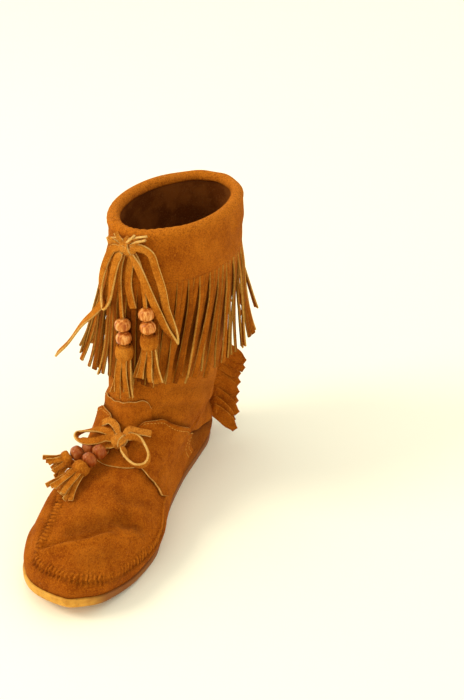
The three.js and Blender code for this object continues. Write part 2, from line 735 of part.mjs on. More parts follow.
// Tassel: a wrapped head and cut strips that spread from it
function tasselForm(start, end, spread) {
  const axis = vector(end).sub(start);
  const length = axis.length();
  axis.normalize();
  const radii = [0, 0.8, 1, 0.92, 0].map((share) => (share * tasselDiameter) / 2);
  const neck = start.clone().addScaledVector(axis, tasselHead);
  const head = solid(turned(start, neck, radii, 8));
  const side = new THREE.Vector3().crossVectors(new THREE.Vector3(1, 0, 0.3), axis).normalize();
  const face = new THREE.Vector3().crossVectors(axis, side);
  return Array.from({ length: tasselStrips }).reduce((form, _, i) => {
    const place = i / (tasselStrips - 1) - 0.5;
    const reach = (length - tasselHead / 2) * (0.86 + 0.14 * scatter(i, spread));
    return form.add(strip(2, 3.2, thongThickness, (t) => {
      const centre = start.clone().addScaledVector(axis, tasselHead * 0.5 + reach * t);
      centre.addScaledVector(side, mix(tasselDiameter * 0.7, spread, t) * place);
      centre.addScaledVector(face, (i % 2 ? 1.3 : -1.3) * (1 - 0.3 * t));
      return { centre, across: side, out: face, taper: 1 };
    }));
  }, head);
}

const suede = 0xa4591a;
const lace = 0xb8702c;
const boot = new THREE.Group();

function add(name, geometry, color, roughness) {
  const material = new THREE.MeshStandardMaterial({ color, roughness, metalness: 0 });
  const mesh = new THREE.Mesh(geometry, material);
  mesh.name = name;
  boot.add(mesh);
  return mesh;
}

add('outsole', outsoleGeometry(), 0xc98a3c, 0.6);
add('insole', insoleGeometry(), 0x6b4528, 0.8);
add('upper', upperGeometry(), suede, 0.95);
add('tongue', surface(tongueBlock(0).subtract(clearForm)), suede, 0.95);
add('ankle_flap_inner', surface(flapForm(1)), suede, 0.95);
add('ankle_flap_outer', surface(flapForm(-1)), suede, 0.95);
add('fringe_cuff', surface(cuffForm()), suede, 0.95);
add('back_fringe', surface(backFringeForm()), suede, 0.95);

// A tie and all that hangs on it
function addTie(name, tie, away) {
  const clear = knotForm(tie.knot, gap);
  const pieces = [add(`${name}_tie_knot`, surface(tieForm(tie, away)), lace, 0.9)];
  const hang = (piece, points, width, steps) => {
    const cord = thong(points, width, thongThickness, steps, away).subtract(clear);
    pieces.push(add(`${name}_tie_${piece}`, surface(cord), lace, 0.9));
  };
  tie.thongs.forEach((row) => hang(row.name, row.points, thongWidth, row.steps));
  tie.trims.forEach(({ cord, width, steps, bead, next, end, spread }, i) => {
    const first = vector(bead);
    const axis = vector(next).sub(first).normalize();
    const along = (distance) => first.clone().addScaledVector(axis, distance);
    const pitch = beadLength + gap;
    hang(`cord_${i + 1}`, [...cord, [...along(-pitch + beadLength / 2).toArray(), 0]], width, steps);
    [0, 1].forEach((place) => {
      pieces.push(add(`${name}_bead_${2 * i + place + 1}`, beadGeometry(along(place * pitch), axis), 0x5a1f10, 0.3));
    });
    const tassel = tasselForm(along(2 * pitch - beadLength / 2), end, spread);
    pieces.push(add(`${name}_tassel_${i + 1}`, surface(tassel), suede, 0.95));
  });
  pieces.forEach((piece) => {
    piece.userData.cord = true;
  });
}

addTie('collar', COLLAR_TIE, fromShaft);
addTie('ankle', ANKLE_TIE, fromInstep);

// The boot stands with the middle of its footprint over the origin
const stance = new THREE.Box3();
boot.children.filter((piece) => !piece.userData.cord).forEach((piece) => stance.expandByObject(piece));
const footprint = stance.getCenter(new THREE.Vector3());
boot.position.set(-footprint.x, -footprint.y, -stance.min.z);

export default boot;
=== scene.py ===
"""Looks of the fringed suede moccasin boot for the right foot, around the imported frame.

Places are in millimetres from the back of the heel on the ground: X to the toe, Y to the
wearer's left, which is the inner side, and Z up. row() carries them to the frame's metres.
"""

import bpy
import numpy as np
from mathutils import Matrix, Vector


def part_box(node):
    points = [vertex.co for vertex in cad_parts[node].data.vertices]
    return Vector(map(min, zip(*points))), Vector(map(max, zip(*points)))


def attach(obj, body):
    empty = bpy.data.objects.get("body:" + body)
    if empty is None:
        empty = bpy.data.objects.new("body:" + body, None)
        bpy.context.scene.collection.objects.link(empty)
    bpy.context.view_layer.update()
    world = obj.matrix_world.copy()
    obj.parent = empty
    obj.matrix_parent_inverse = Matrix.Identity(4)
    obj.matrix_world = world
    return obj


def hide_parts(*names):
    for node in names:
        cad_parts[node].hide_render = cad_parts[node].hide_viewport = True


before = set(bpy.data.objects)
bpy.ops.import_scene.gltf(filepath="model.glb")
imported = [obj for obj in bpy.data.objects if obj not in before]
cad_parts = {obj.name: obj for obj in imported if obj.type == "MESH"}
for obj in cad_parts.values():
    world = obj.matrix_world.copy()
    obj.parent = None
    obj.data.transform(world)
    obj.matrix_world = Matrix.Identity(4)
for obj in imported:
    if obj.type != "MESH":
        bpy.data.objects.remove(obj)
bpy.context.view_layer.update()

# Camera: where the photograph was taken from, fitted to the sole, the collar and the
# other boot of the pair. The picture is 464 x 700.
PICTURE_HEIGHT = 700
FOCAL_PIXELS = 1123.1
SENSOR_MM = 24
CAMERA_AT = (724.2, 308.2, 549.1)
CAMERA_RIGHT = (-0.3536, 0.9354, 0.0037)
CAMERA_FORWARD = (-0.7979, -0.2995, -0.5232)
SOLE_LENGTH = 250
BALL_WIDTH = 91
HEEL_WIDTH = 60
OUTER_SHARE = 0.516

sole_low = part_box("outsole")[0]
heel = np.array([sole_low[0], sole_low[1] + OUTER_SHARE * BALL_WIDTH / 1000, 0.0])


def row(points):
    """Heel millimetres to the frame's metres."""
    return np.asarray(points, float) / 1000 + heel


def unit(vectors):
    """Vectors of length 1."""
    vectors = np.asarray(vectors, float)
    return vectors / np.maximum(np.linalg.norm(vectors, axis=-1, keepdims=True), 1e-9)


lens = bpy.data.cameras.new("camera")
lens.sensor_fit = "VERTICAL"
lens.sensor_height = SENSOR_MM
lens.lens = FOCAL_PIXELS / PICTURE_HEIGHT * SENSOR_MM
lens.clip_start = 0.01
camera = bpy.data.objects.new("camera", lens)
bpy.context.collection.objects.link(camera)
back = -unit(CAMERA_FORWARD)
up = unit(np.cross(back, CAMERA_RIGHT))
right = np.cross(up, back)
matrix = np.eye(4)
matrix[:3, 0], matrix[:3, 1], matrix[:3, 2], matrix[:3, 3] = right, up, back, row(CAMERA_AT)
camera.matrix_world = Matrix(matrix.tolist())
bpy.context.scene.camera = camera
bpy.context.scene.view_settings.view_transform = "Standard"


# Ties: flat suede thongs with paler cut edges. They come first, because their routes
# are the frame's. The shader class and the mesh helpers are made here.
class Value:
    """An output of a shader node that Python's operators work on."""

    def __init__(self, shader, socket):
        self.shader = shader
        self.socket = socket

    def _math(self, operation, other):
        return self.shader.node("Math", {0: self, 1: other}, operation=operation)

    def __add__(self, other):
        return self._math("ADD", other)

    def __mul__(self, other):
        return self._math("MULTIPLY", other)

    def step(self, low, high):
        """0 below low, 1 above high, smooth between."""
        inputs = {"Value": self, "From Min": low, "From Max": high}
        return self.shader.node("MapRange", inputs, interpolation_type="SMOOTHSTEP")


class Shader:
    """One material: a principled surface and the nodes that feed it."""

    def __init__(self, name, **constants):
        self.material = bpy.data.materials.new(name)
        self.material.use_nodes = True
        self.tree = self.material.node_tree
        self.surface = self.tree.nodes["Principled BSDF"]
        self.place = self.node("TexCoord", {}, output="Object")
        for socket, value in constants.items():
            self.surface.inputs[socket.replace("_", " ")].default_value = value

    def node(self, kind, inputs, output=0, **settings):
        """Adds a node, fills or links its inputs and returns one of its outputs."""
        node = self.tree.nodes.new("ShaderNode" + kind)
        for name, value in settings.items():
            setattr(node, name, value)
        for name, value in inputs.items():
            if isinstance(value, Value):
                self.tree.links.new(value.socket, node.inputs[name])
            else:
                node.inputs[name].default_value = value
        return Value(self, node.outputs[output])

    def noise(self, size, detail=2.0, rough=0.5, stretch=None):
        """Noise between 0 and 1 whose blobs are about that many millimetres."""
        place = self.place
        if stretch:
            place = self.node("Mapping", {"Vector": place, "Scale": stretch})
        inputs = {"Vector": place, "Scale": 1000 / size, "Detail": detail, "Roughness": rough}
        return self.node("TexNoise", inputs)

    def mark(self, name):
        """A number stored on the mesh."""
        return self.node("Attribute", {}, output="Fac", attribute_name=name)

    def mix(self, low, high, share):
        """Colour between two colours."""
        inputs = {0: share, 6: low, 7: high}
        return self.node("Mix", inputs, output=2, data_type="RGBA")

    def wire(self, socket, value):
        """Feeds one input of the surface."""
        self.tree.links.new(value.socket, self.surface.inputs[socket])

    def bump(self, height, distance, strength=1.0):
        """Raises the surface by height times distance in millimetres."""
        inputs = {"Height": height, "Distance": distance / 1000, "Strength": strength}
        self.wire("Normal", self.node("Bump", inputs))


def suede(name, dark, base, pale, grain=1.0):
    """Napped suede: soft patches, pale scuffed spots, fine speckle, a little velvet sheen, and the
    wear, tone, painted light and painted shade that the meshes mark.
    """
    s = Shader(name, Roughness=0.95, Sheen_Weight=0.07, Sheen_Roughness=0.5,
               Sheen_Tint=(1.0, 0.5, 0.12, 1), Specular_IOR_Level=0.03)
    patches = s.noise(24, 4, 0.6)
    streaks = s.noise(7, 4, 0.7)
    speckle = s.noise(2.0, 4, 0.8)
    grains = s.noise(1.0, 3, 0.8)
    color = s.mix(dark, base, (patches * 0.5 + streaks * 0.5).step(0.26, 0.54))
    pale_wear_and_painted_light = patches * 0.35 + streaks * 0.3 + speckle * 0.35
    color = s.mix(color, pale, pale_wear_and_painted_light.step(0.47, 0.65) * 0.8)
    # paler where the mesh marks wear and painted light
    color = s.mix(color, pale, s.mark("wear_and_painted_light"))
    color = s.mix(color, dark, (speckle * 0.5 + grains * 0.5).step(0.47, 0.61) * 0.65)
    color = s.mix(color, pale, (speckle * 0.4 + grains * 0.6).step(0.47, 0.36) * 0.5)
    # darker, towards a deep brown, where the mesh marks painted shade and tone
    color = s.mix(color, tuple(0.3 * part for part in dark[:3]) + (1,), s.mark("painted_shade_and_tone"))
    s.wire("Base Color", color)
    s.bump(streaks * 0.6 + speckle + grains * 0.8, 0.8 * grain, 1.0)
    return s.material


SUEDE = suede("suede", (0.20, 0.034, 0.001, 1), (0.40, 0.092, 0.003, 1), (0.62, 0.18, 0.01, 1))
THONG = suede("thong suede", (0.27, 0.058, 0.003, 1), (0.52, 0.155, 0.008, 1),
              (0.72, 0.28, 0.035, 1), 0.7)
RAW_EDGE = suede("raw edge", (0.40, 0.13, 0.010, 1), (0.62, 0.27, 0.035, 1),
                 (0.78, 0.43, 0.09, 1), 0.8)
CUT_EDGE = suede("cut edge", (0.52, 0.22, 0.03, 1), (0.78, 0.42, 0.09, 1),
                 (0.90, 0.60, 0.20, 1), 0.8)


def make(name, form, materials, replaced=(), marks=None):
    """A piece of the boot, riding on the one body. form holds its points in heel
    millimetres, its faces and each face's pick of the materials, and marks are numbers
    that the materials read at each point."""
    if replaced:
        name += "_look"
    points, faces, picks = form
    mesh = bpy.data.meshes.new(name)
    mesh.from_pydata(row(points).tolist(), [], [tuple(face) for face in faces])
    for material in materials:
        mesh.materials.append(material)
    mesh.polygons.foreach_set("material_index", np.asarray(picks, np.int32))
    for mark, values in (marks or {}).items():
        stored = mesh.attributes.new(mark, "FLOAT", "POINT")
        stored.data.foreach_set("value", np.asarray(values, np.float32))
    mesh.shade_smooth()
    mesh.update()
    piece = bpy.data.objects.new(name, mesh)
    bpy.context.collection.objects.link(piece)
    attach(piece, "root")
    if replaced:
        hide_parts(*replaced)
    return piece


def joined(parts):
    """Several (points, faces, picks) as one."""
    points, faces, picks = [], [], []
    count = 0
    for part_points, part_faces, part_picks in parts:
        points.append(part_points)
        faces.extend([[corner + count for corner in face] for face in part_faces])
        picks.extend(part_picks)
        count += len(part_points)
    return np.concatenate(points), faces, picks


def ease(low, high, x):
    """0 below low, 1 above high, smooth between."""
    t = np.clip((np.asarray(x, float) - low) / (high - low), 0, 1)
    return t * t * (3 - 2 * t)


def mix(a, b, t):
    """The value at share t of the way from a to b."""
    return a + (b - a) * t


def smooth(stations, values, at):
    """Smooth curve through values at rising stations, never overshooting. values has
    one row for each station, and each of its columns is read at its own place."""
    stations = np.asarray(stations, float)
    values = np.asarray(values, float)
    x = np.clip(np.asarray(at, float), stations[0], stations[-1])
    if values.ndim == 1:
        values = np.repeat(values[:, None], x.size, axis=1)
    gaps = np.diff(stations)
    rates = np.diff(values, axis=0) / gaps.reshape(-1, *[1] * (values.ndim - 1))
    slopes = np.concatenate([rates[:1], np.zeros_like(rates[1:]), rates[-1:]])
    before, after = rates[:-1], rates[1:]
    same = before * after > 0
    middle = 2 * before * after / np.where(same, before + after, 1)
    slopes[1:-1] = np.where(same, middle, 0)
    i = np.clip(np.searchsorted(stations, x, side="left") - 1, 0, len(stations) - 2)
    pick = np.arange(x.size)
    width = gaps[i]
    t = (x - stations[i]) / width
    if values.ndim == 3:
        t = t[:, None]
        width = width[:, None]
    start = values[i, pick] * (2 * t**3 - 3 * t**2 + 1)
    start = start + slopes[i, pick] * width * (t**3 - 2 * t**2 + t)
    end = values[i + 1, pick] * (3 * t**2 - 2 * t**3)
    return start + (end + slopes[i + 1, pick] * width * (t**3 - t**2))


def spline(points, steps):
    """Places along a curve through the points, and how far along the list each is."""
    points = np.asarray(points, float)
    padded = np.concatenate([2 * points[:1] - points[1:2], points, 2 * points[-1:] - points[-2:-1]])
    stations = np.linspace(0, len(points) - 1, steps + 1)
    places = []
    for station in stations:
        i = min(int(station), len(points) - 2)
        p = padded[i:i + 4]
        knots = np.concatenate([[0], np.cumsum(np.linalg.norm(np.diff(p, axis=0), axis=1) ** 0.5)])
        t = mix(knots[1], knots[2], station - i)

        def between(a, b, low, high):
            return a + (b - a) * (t - low) / (high - low)

        first = [between(p[k], p[k + 1], knots[k], knots[k + 1]) for k in range(3)]
        second = [between(first[k], first[k + 1], knots[k], knots[k + 2]) for k in range(2)]
        places.append(between(second[0], second[1], knots[1], knots[2]))
    return np.array(places), stations


# Section of a flat strip, as shares of its width and thickness: two faces and two
# rounded cut edges
STRIP_SECTION = [
    (0.46, 0.5), (0.24, 0.5), (0, 0.5), (-0.24, 0.5), (-0.46, 0.5), (-0.5, 0),
    (-0.46, -0.5), (-0.24, -0.5), (0, -0.5), (0.24, -0.5), (0.46, -0.5), (0.5, 0),
]
CUT_FACES = (4, 5, 10, 11)


def ribbon(centres, across, out, width, thickness, cup=0.0):
    """A flat strip along its centres: across and out are its directions at each, width
    may change along it, and cup curls its edges outwards."""
    count = len(STRIP_SECTION)
    a = np.array([corner[0] for corner in STRIP_SECTION])
    b = np.array([corner[1] for corner in STRIP_SECTION])
    width = np.broadcast_to(np.asarray(width, float), (len(centres),))
    sideways = across[:, None] * (a * width[:, None])[..., None]
    rise = b * thickness + 4 * cup * a**2
    outwards = out[:, None] * np.broadcast_to(rise, (len(centres), count))[..., None]
    points = (centres[:, None] + sideways + outwards).reshape(-1, 3)
    faces, picks = [], []
    for ring in range(len(centres) - 1):
        for i in range(count):
            j = (i + 1) % count
            low, high = ring * count, (ring + 1) * count
            faces.append([low + i, low + j, high + j, high + i])
            picks.append(1 if i in CUT_FACES else 0)
    faces.append(list(range(count))[::-1])
    faces.append([(len(centres) - 1) * count + i for i in range(count)])
    picks += [1, 1]
    return points, faces, picks


SHAFT_MIDDLE = (48.5, 11.8, 0)
INSTEP_OUT = (0.5, 0, 0.87)


def from_shaft(centres):
    """Straight out from the shaft's middle line."""
    out = np.asarray(centres, float) - SHAFT_MIDDLE
    out[:, 2] = 0
    return unit(out)


def from_instep(centres):
    """Up from the instep."""
    return np.broadcast_to(INSTEP_OUT, np.shape(centres))


def thong_frame(points, steps, away):
    """Centres, across and out of a thong through points of x, y, z and turn."""
    points = np.asarray(points, float)
    centres, stations = spline(points[:, :3], steps)
    tangent = unit(np.gradient(centres, axis=0))
    side = unit(np.cross(away(centres), tangent))
    turn = np.radians(smooth(np.arange(len(points)), points[:, 3], stations))[:, None]
    side = side * np.cos(turn) + np.cross(tangent, side) * np.sin(turn)
    return centres, side, np.cross(tangent, side)


THONG_WIDTH = 5.4
THONG_THICKNESS = 1.7
CORD_WIDTH = 2.6
BEAD_DIAMETER = 11.4
BEAD_LENGTH = 9.4
GAP = 0.3
COLLAR_LOOPS = {
    "loop_left": [
        [119, 2, 215, 0], [117, -5, 212.5, 0], [113, -13.5, 199, 0], [112.5, -17.5, 184.5, 10],
        [114.5, -17.5, 172, 45], [117, -14.5, 164.5, 90], [119, -10.5, 172, 135],
        [118.5, -6.5, 190, 170], [117, -3, 204, 180], [118.5, 1, 211, 180],
    ],
    "loop_right": [
        [119, 8.5, 215.5, 0], [118, 15.5, 216.5, 0], [115.5, 21.5, 211.5, 0],
        [114.5, 24.5, 201.5, 0], [114.5, 29, 186, 0], [114, 31, 171, 0], [112.5, 35.5, 155, 30],
        [111, 37.5, 144, 90], [115.5, 33, 152.5, 150], [118, 27, 168.5, 180],
        [119, 21, 184, 180], [118.5, 13.5, 200.5, 180], [118.5, 8.5, 210.5, 180],
    ],
    "end_middle": [
        [114.5, 4.8, 209, 0], [113.3, 6, 205, 0], [114.8, 4.5, 195, 0], [116.5, 5, 180, 0],
        [117.5, 8, 169, 0],
    ],
    "end_long": [
        [115, -1.5, 211.5, 0], [112, -8, 202, 0], [111.5, -12.5, 183, 0], [111, -17.5, 167, 0],
        [111.5, -25, 157, 15], [110, -36, 144, 35], [107, -50, 125, 38], [104, -64, 108, 35],
    ],
}
ANKLE_LOOPS = {
    "loop_left": [
        [135.5, -4, 66.5, 0], [137, -9, 67.5, 0], [143, -14.5, 68, 0], [145, -21.5, 67, 0],
        [141, -31, 64, 60], [131, -36, 60.5, 90], [127.5, -31, 62.5, 120], [127, -21.5, 66, 160],
        [130, -11, 68, 180], [132.5, -5.5, 68, 180],
    ],
    "loop_right": [
        [133, 4, 68, 0], [130.5, 8, 69, 30], [130, 13, 68.5, 60], [132, 20, 65, 90],
        [137, 24.5, 61, 90], [143.5, 24, 57.5, 90], [147.5, 19, 57, 90], [146.5, 13, 59, 90],
        [142, 7.5, 61.5, 60], [138.5, 3.5, 64, 30],
    ],
}


def add_cord(name, mesh):
    """A piece of thong."""
    piece = make(name, mesh, [THONG, CUT_EDGE], [name])


def add_thong(name, points, away, end="object"):
    """One free thong, drawn narrow where it is in the knot."""
    centres, side, out = thong_frame(points, 72, away)
    far = np.linspace(0, 1, len(centres))
    tightened = 0.6 + 0.4 * ease(0, 0.07, far)
    if end == "object":
        tightened = tightened * (0.6 + 0.4 * ease(0, 0.07, 1 - far))
    wave = 0.35 * np.sin(far * 19 + len(name))[:, None]
    centres_seen = centres + out * wave * ease(0, 0.1, far * (1 - far))[:, None]
    mesh = ribbon(centres_seen, side, out, THONG_WIDTH * tightened, THONG_THICKNESS, 0.25)
    add_cord(name, mesh)


for name, points in COLLAR_LOOPS.items():
    end = "bare" if name.startswith("end") else "object"
    add_thong("collar_tie_" + name, points, from_shaft, end)
for name, points in ANKLE_LOOPS.items():
    add_thong("ankle_tie_" + name, points, from_instep)


# Trims: on each tie two cords, each through two lacquered wooden beads to a tassel, a
# wrapped head with cut strips. Beads are turned, with a bore that the cord fills.
def scatter(place, seed):
    """A repeatable spread between 0 and 1, the one that the solids use."""
    value = np.sin(place * 127.1 + seed * 311.7) * 43758.5453
    return value - np.floor(value)


def loft(rings, looped=False):
    """Closed mesh from rings of equal counts, or a loop of rings."""
    rings = np.asarray(rings)
    count = rings.shape[1]
    faces = []
    spans = len(rings) if looped else len(rings) - 1
    for ring in range(spans):
        low, high = ring * count, (ring + 1) % len(rings) * count
        for i in range(count):
            j = (i + 1) % count
            faces.append([low + i, low + j, high + j, high + i])
    if not looped:
        faces.append(list(range(count))[::-1])
        faces.append([(len(rings) - 1) * count + i for i in range(count)])
    return rings.reshape(-1, 3), faces, [0] * len(faces)


def crosswise(axis, hint=(1, 0, 0.3)):
    """Two directions at right angles to an axis."""
    side = unit(np.cross(hint, axis))
    return side, np.cross(axis, side)


def turned(start, axis, profile, sides=40, looped=False):
    """Round form about an axis through start: profile holds distance along and radius."""
    side, face = crosswise(axis)
    angles = np.linspace(0, 2 * np.pi, sides, endpoint=False)[:, None]
    circle = np.cos(angles) * side + np.sin(angles) * face
    return loft([start + axis * along + circle * radius for along, radius in profile], looped)


def lacquer():
    """Red-brown lacquered wood, streaked darker and paler along the bead's axis, with painted shade
    where the mesh marks it.
    """
    s = Shader("lacquered wood", Roughness=0.2, Specular_IOR_Level=0.3,
               Specular_Tint=(1, 0.5, 0.22, 1), Coat_Weight=0.15, Coat_Roughness=0.07)
    bands = s.noise(2.2, 2, 0.5, (1, 1, 0.2))
    fine = s.noise(0.7, 2, 0.5)
    color = s.mix((0.36, 0.080, 0.010, 1), (0.58, 0.190, 0.030, 1), bands.step(0.36, 0.52))
    # the palest streaks along the axis
    color = s.mix(color, (0.85, 0.40, 0.11, 1), (bands * 0.8 + fine * 0.2).step(0.52, 0.62) * 0.8)
    # painted shade where the mesh marks it, on the ankle beads
    color = s.mix(color, (0.22, 0.030, 0.003, 1), s.mark("painted_shade_and_tone"))
    s.wire("Base Color", color)
    s.bump(fine, 0.03, 0.2)
    return s.material


LACQUER = lacquer()
TASSEL_DIAMETER = 10.4
TASSEL_STRIPS = 8
BORE = 1.6


def bead_mesh(middle, axis):
    """A round bead with flat ends and a bore."""
    half = BEAD_LENGTH / 2
    profile = [(-half, BORE), (-half, BORE + 0.7)]
    for share in np.linspace(-0.96, 0.96, 23):
        round_radius = BEAD_DIAMETER / 2 * (1 - abs(share) ** 2.5) ** 0.42
        profile.append((half * share, max(round_radius, BORE + 1.1)))
    profile += [(half, BORE + 0.7), (half, BORE)]
    profile += [(half * share, BORE) for share in (0.6, 0, -0.6)]
    return turned(middle, axis, profile, looped=True)


def tassel_mesh(start, end, spread, head):
    """A core, the broad band rolled around it and the cut strips."""
    axis = unit(end - start)
    length = np.linalg.norm(end - start)
    side, face = crosswise(axis)
    radius = TASSEL_DIAMETER / 2
    core = [(0, 1.2), (0.3, radius * 0.62), (1.6, radius * 0.85), (head * 0.5, radius * 0.86),
            (head * 0.85, radius * 0.84), (head, radius * 0.7)]
    parts = [turned(start, axis, core, 28)]
    angles = np.linspace(-0.5, 2 * np.pi + 0.3, 60)[:, None]
    out = np.cos(angles) * side + np.sin(angles) * face
    bulge = 0.22 * np.sin(angles * 3 + spread)
    roll = radius + 0.1 + 0.9 * (angles + 0.5) / (2 * np.pi) + bulge
    wrap = start + axis * (head * 0.46 + 0.4 * np.sin(angles)) + out * roll
    band = ribbon(wrap, np.broadcast_to(axis, out.shape), out, head * 0.88, 1.1, -1.1)
    parts.append((band[0], band[1], [0] * len(band[2])))
    strips_start = head * 0.7
    for i in range(TASSEL_STRIPS):
        place = i / (TASSEL_STRIPS - 1) - 0.5
        far = np.linspace(0, 1, 17)[:, None]
        reach = (length - strips_start) * (0.82 + 0.18 * scatter(i, spread))
        layer = 2.0 * ((i % 3) - 1)
        swing = 1.3 * np.sin(3.2 * far + 5 * scatter(i, spread + 1)) * far
        sag = 1.0 * np.sin(2.5 * far + 6 * scatter(i, spread + 2)) * far
        fan = mix(TASSEL_DIAMETER * 0.72, spread * 0.85, far ** 1.2) * place
        centres = start + axis * (strips_start + reach * far)
        centres = centres + side * (fan + swing)
        centres = centres + face * (layer * (1 - 0.2 * far) + sag)
        tangent = unit(np.gradient(centres, axis=0))
        twist = (scatter(i, spread + 3) - 0.5) * 1.6 * far + 0.5 * place
        across = unit(side * np.cos(twist) + face * np.sin(twist))
        across = unit(across - tangent * (across * tangent).sum(1, keepdims=True))
        parts.append(ribbon(centres, across, np.cross(tangent, across), 3.7, 1.3, 0.25))
    return joined(parts)


COLLAR_TRIMS = [
    {
        "cord": [[114, 1.4, 209, 0], [113, -1.5, 200.5, 0], [114.5, -2.5, 191, 0],
                 [117.5, -1.5, 179, 0]],
        "width": CORD_WIDTH, "bead": [122.5, 1.5, 157], "next": [123.8, 2.5, 146.6],
        "end": [124, -1.5, 96], "spread": 20, "head": 12, "dark": 0,
    },
    {
        "cord": [[114, 9, 209.5, 0], [113.5, 11.8, 202, 0], [115, 14, 191, 0],
                 [117.5, 16.5, 180, 0]],
        "width": CORD_WIDTH, "bead": [120.3, 18.8, 167.8], "next": [121.5, 20.2, 157.5],
        "end": [122.5, 19, 112], "spread": 22, "head": 12, "dark": 0,
    },
]
# The ankle beads get painted shade by their dark share, so they read darker than the collar's.
ANKLE_TRIMS = [
    {
        "cord": [[135, -2.5, 64, 0], [137.5, -5, 63, 0]],
        "width": THONG_WIDTH, "bead": [146.5, -10.5, 61.5], "next": [156, -15, 59],
        "end": [189, -24, 49], "spread": 22, "head": 9, "dark": 0.7,
    },
    {
        "cord": [[133, -5, 65, 0], [134.5, -11.5, 64, 0]],
        "width": CORD_WIDTH, "bead": [143, -20.8, 60.8], "next": [148.3, -27.2, 57.5],
        "end": [166, -42, 50], "spread": 22, "head": 6.5, "dark": 0.7,
    },
]


def add_trim(tie, number, trim, away):
    """Beads, tassel and the cord that carries them."""
    first = np.array(trim["bead"], float)
    axis = unit(np.array(trim["next"]) - first)
    pitch = BEAD_LENGTH + GAP
    for place in range(2):
        name = f"{tie}_bead_{2 * number + place + 1}"
        mesh = bead_mesh(first + axis * pitch * place, axis)
        # painted shade on the beads, by their trim's dark share
        marks = {"painted_shade_and_tone": np.full(len(mesh[0]), trim["dark"])}
        make(name, mesh, [LACQUER], [name], marks)
    start = first + axis * (2 * pitch - BEAD_LENGTH / 2)
    name = f"{tie}_tassel_{number + 1}"
    mesh = tassel_mesh(start, np.array(trim["end"], float), trim["spread"], trim["head"])
    make(name, mesh, [THONG, CUT_EDGE], [name])
    name = f"{tie}_tie_cord_{number + 1}"
    points = trim["cord"] + [[*(first + axis * share * pitch), 0] for share in (-0.6, 0.4, 1.75)]
    centres, side, out = thong_frame(points, 44, away)
    near = np.linalg.norm(centres - first, axis=1)
    width = mix(2 * BORE - 0.8, trim["width"], ease(5, 9, near) * ((centres - first) @ axis < 0))
    mesh = ribbon(centres, side, out, width, 1.4, 0.2)
    add_cord(name, mesh)


for number, trim in enumerate(COLLAR_TRIMS):
    add_trim("collar", number, trim, from_shaft)
for number, trim in enumerate(ANKLE_TRIMS):
    add_trim("ankle", number, trim, from_instep)


# Knots: a core with turns of the thong over it, and the stubs that run into the slots
# or stand out short.
def knot_mesh(middle, half, turns, stubs, away):
    """turns hold an axis, a shift along it and a width; stubs a width and their points."""
    middle = np.array(middle, float)
    half = np.array(half, float)
    angles = np.linspace(0, 2 * np.pi, 28, endpoint=False)
    rings = []
    for rise in np.linspace(-1.4, 1.4, 15):
        circle = np.stack([np.cos(angles) * np.cos(rise), np.sin(angles) * np.cos(rise),
                           np.full(28, np.sin(rise))], 1)
        rings.append(middle + circle * (half - 0.9))
    parts = [loft(rings)]
    for axis, shift, width in turns:
        axis = unit(axis)
        side, face = crosswise(axis, (0.1, 0.2, 1))
        around = np.linspace(0, 2 * np.pi, 49)[:, None]
        way = np.cos(around) * side + np.sin(around) * face
        reach = 1 / np.sqrt(((way / half) ** 2).sum(1, keepdims=True))
        centres = middle + axis * shift + way * (reach * 0.93)
        parts.append(ribbon(centres, np.broadcast_to(axis, way.shape), way, width, 1.6, 0.3))
    for width, points in stubs:
        centres, side, out = thong_frame(points, 24, away)
        far = np.linspace(0, 1, 25)
        widths = width * (0.65 + 0.35 * ease(0, 0.35, far))
        parts.append(ribbon(centres, side, out, widths, 1.5, 0.3))
    return joined(parts)


COLLAR_KNOT = {
    "middle": [115.5, 4.5, 214.5],
    "half": [4.4, 6.5, 5.5],
    "turns": [
        ((0.1, 1, 0.25), 1.2, 4.6), ((0.1, 0.9, -0.5), -2.2, 4.4), ((0, 0.35, 1), 0, 4.2),
    ],
    "stubs": [
        (5.4, [[113, 0, 216, 0], [112.5, -5, 216, 0], [109, -13, 213, 0]]),
        (5.4, [[113, 8, 215, 0], [113.3, 12, 213.5, 0], [112, 16, 212.5, 0]]),
        (3.2, [[117, 6, 219, 0], [119.5, 13, 223.5, 30], [117, 20, 225.5, 60]]),
        (3.0, [[117, 3, 218, 0], [119.5, 1, 221.5, 30], [119, -2, 225.5, 70]]),
        (2.6, [[117.5, 5, 218, 0], [120.5, 9, 222, 60], [119.5, 12, 226, 90]]),
        (2.6, [[117.5, 7, 216, 0], [120, 13, 221, 40], [119.5, 20, 224, 80]]),
        (2.4, [[117, 1, 216, 0], [119.5, -4, 220, 20], [119, -8, 221, 70]]),
    ],
}
ANKLE_KNOT = {
    "middle": [133, -0.5, 65.5],
    "half": [5, 6, 4.6],
    "turns": [
        ((0.35, 1, 0), 0.6, 5), ((-0.2, 0.8, 0.5), -2.4, 4.6), ((0.1, 0.75, -0.65), 1.6, 4.4),
    ],
    "stubs": [
        (5.4, [[131, -2, 67.5, 0], [125.5, -7, 71, 0], [121.5, -14, 71.5, 0], [121.5, -20, 68, 0]]),
        (5.4, [[131, 1, 67, 0], [126, 4, 71, 0], [123.5, 11, 69.5, 0], [120.5, 19, 67.5, 0]]),
    ],
}
KNOTS = {"collar_tie_knot": (COLLAR_KNOT, from_shaft), "ankle_tie_knot": (ANKLE_KNOT, from_instep)}
for name, (knot, away) in KNOTS.items():
    mesh = knot_mesh(**knot, away=away)
    marks = {"wear_and_painted_light": np.full(len(mesh[0]), 0.4)}
    make(name, mesh, [THONG, CUT_EDGE], [name], marks)


# Upper: one hollow skin of soft suede, sewn from a wall, a plug and a shaft with a rolled
# casing. Its place is the solid's own formula, and the creases, puckers, slack and the
# heel's hem are set as troughs and ridges on it.
SOLE_THICKNESS = 5
TOE_SPRING = 10
TOE_LIP = 2.5
SPRING_START = 0.72
WALL_HEIGHT = 15
INSTEP_HEIGHT = 59
LEG_HEIGHT = 223
COLLAR_LENGTH = 126
COLLAR_WIDTH = 83
CASING_RADIUS = 4.6
LEATHER = 2
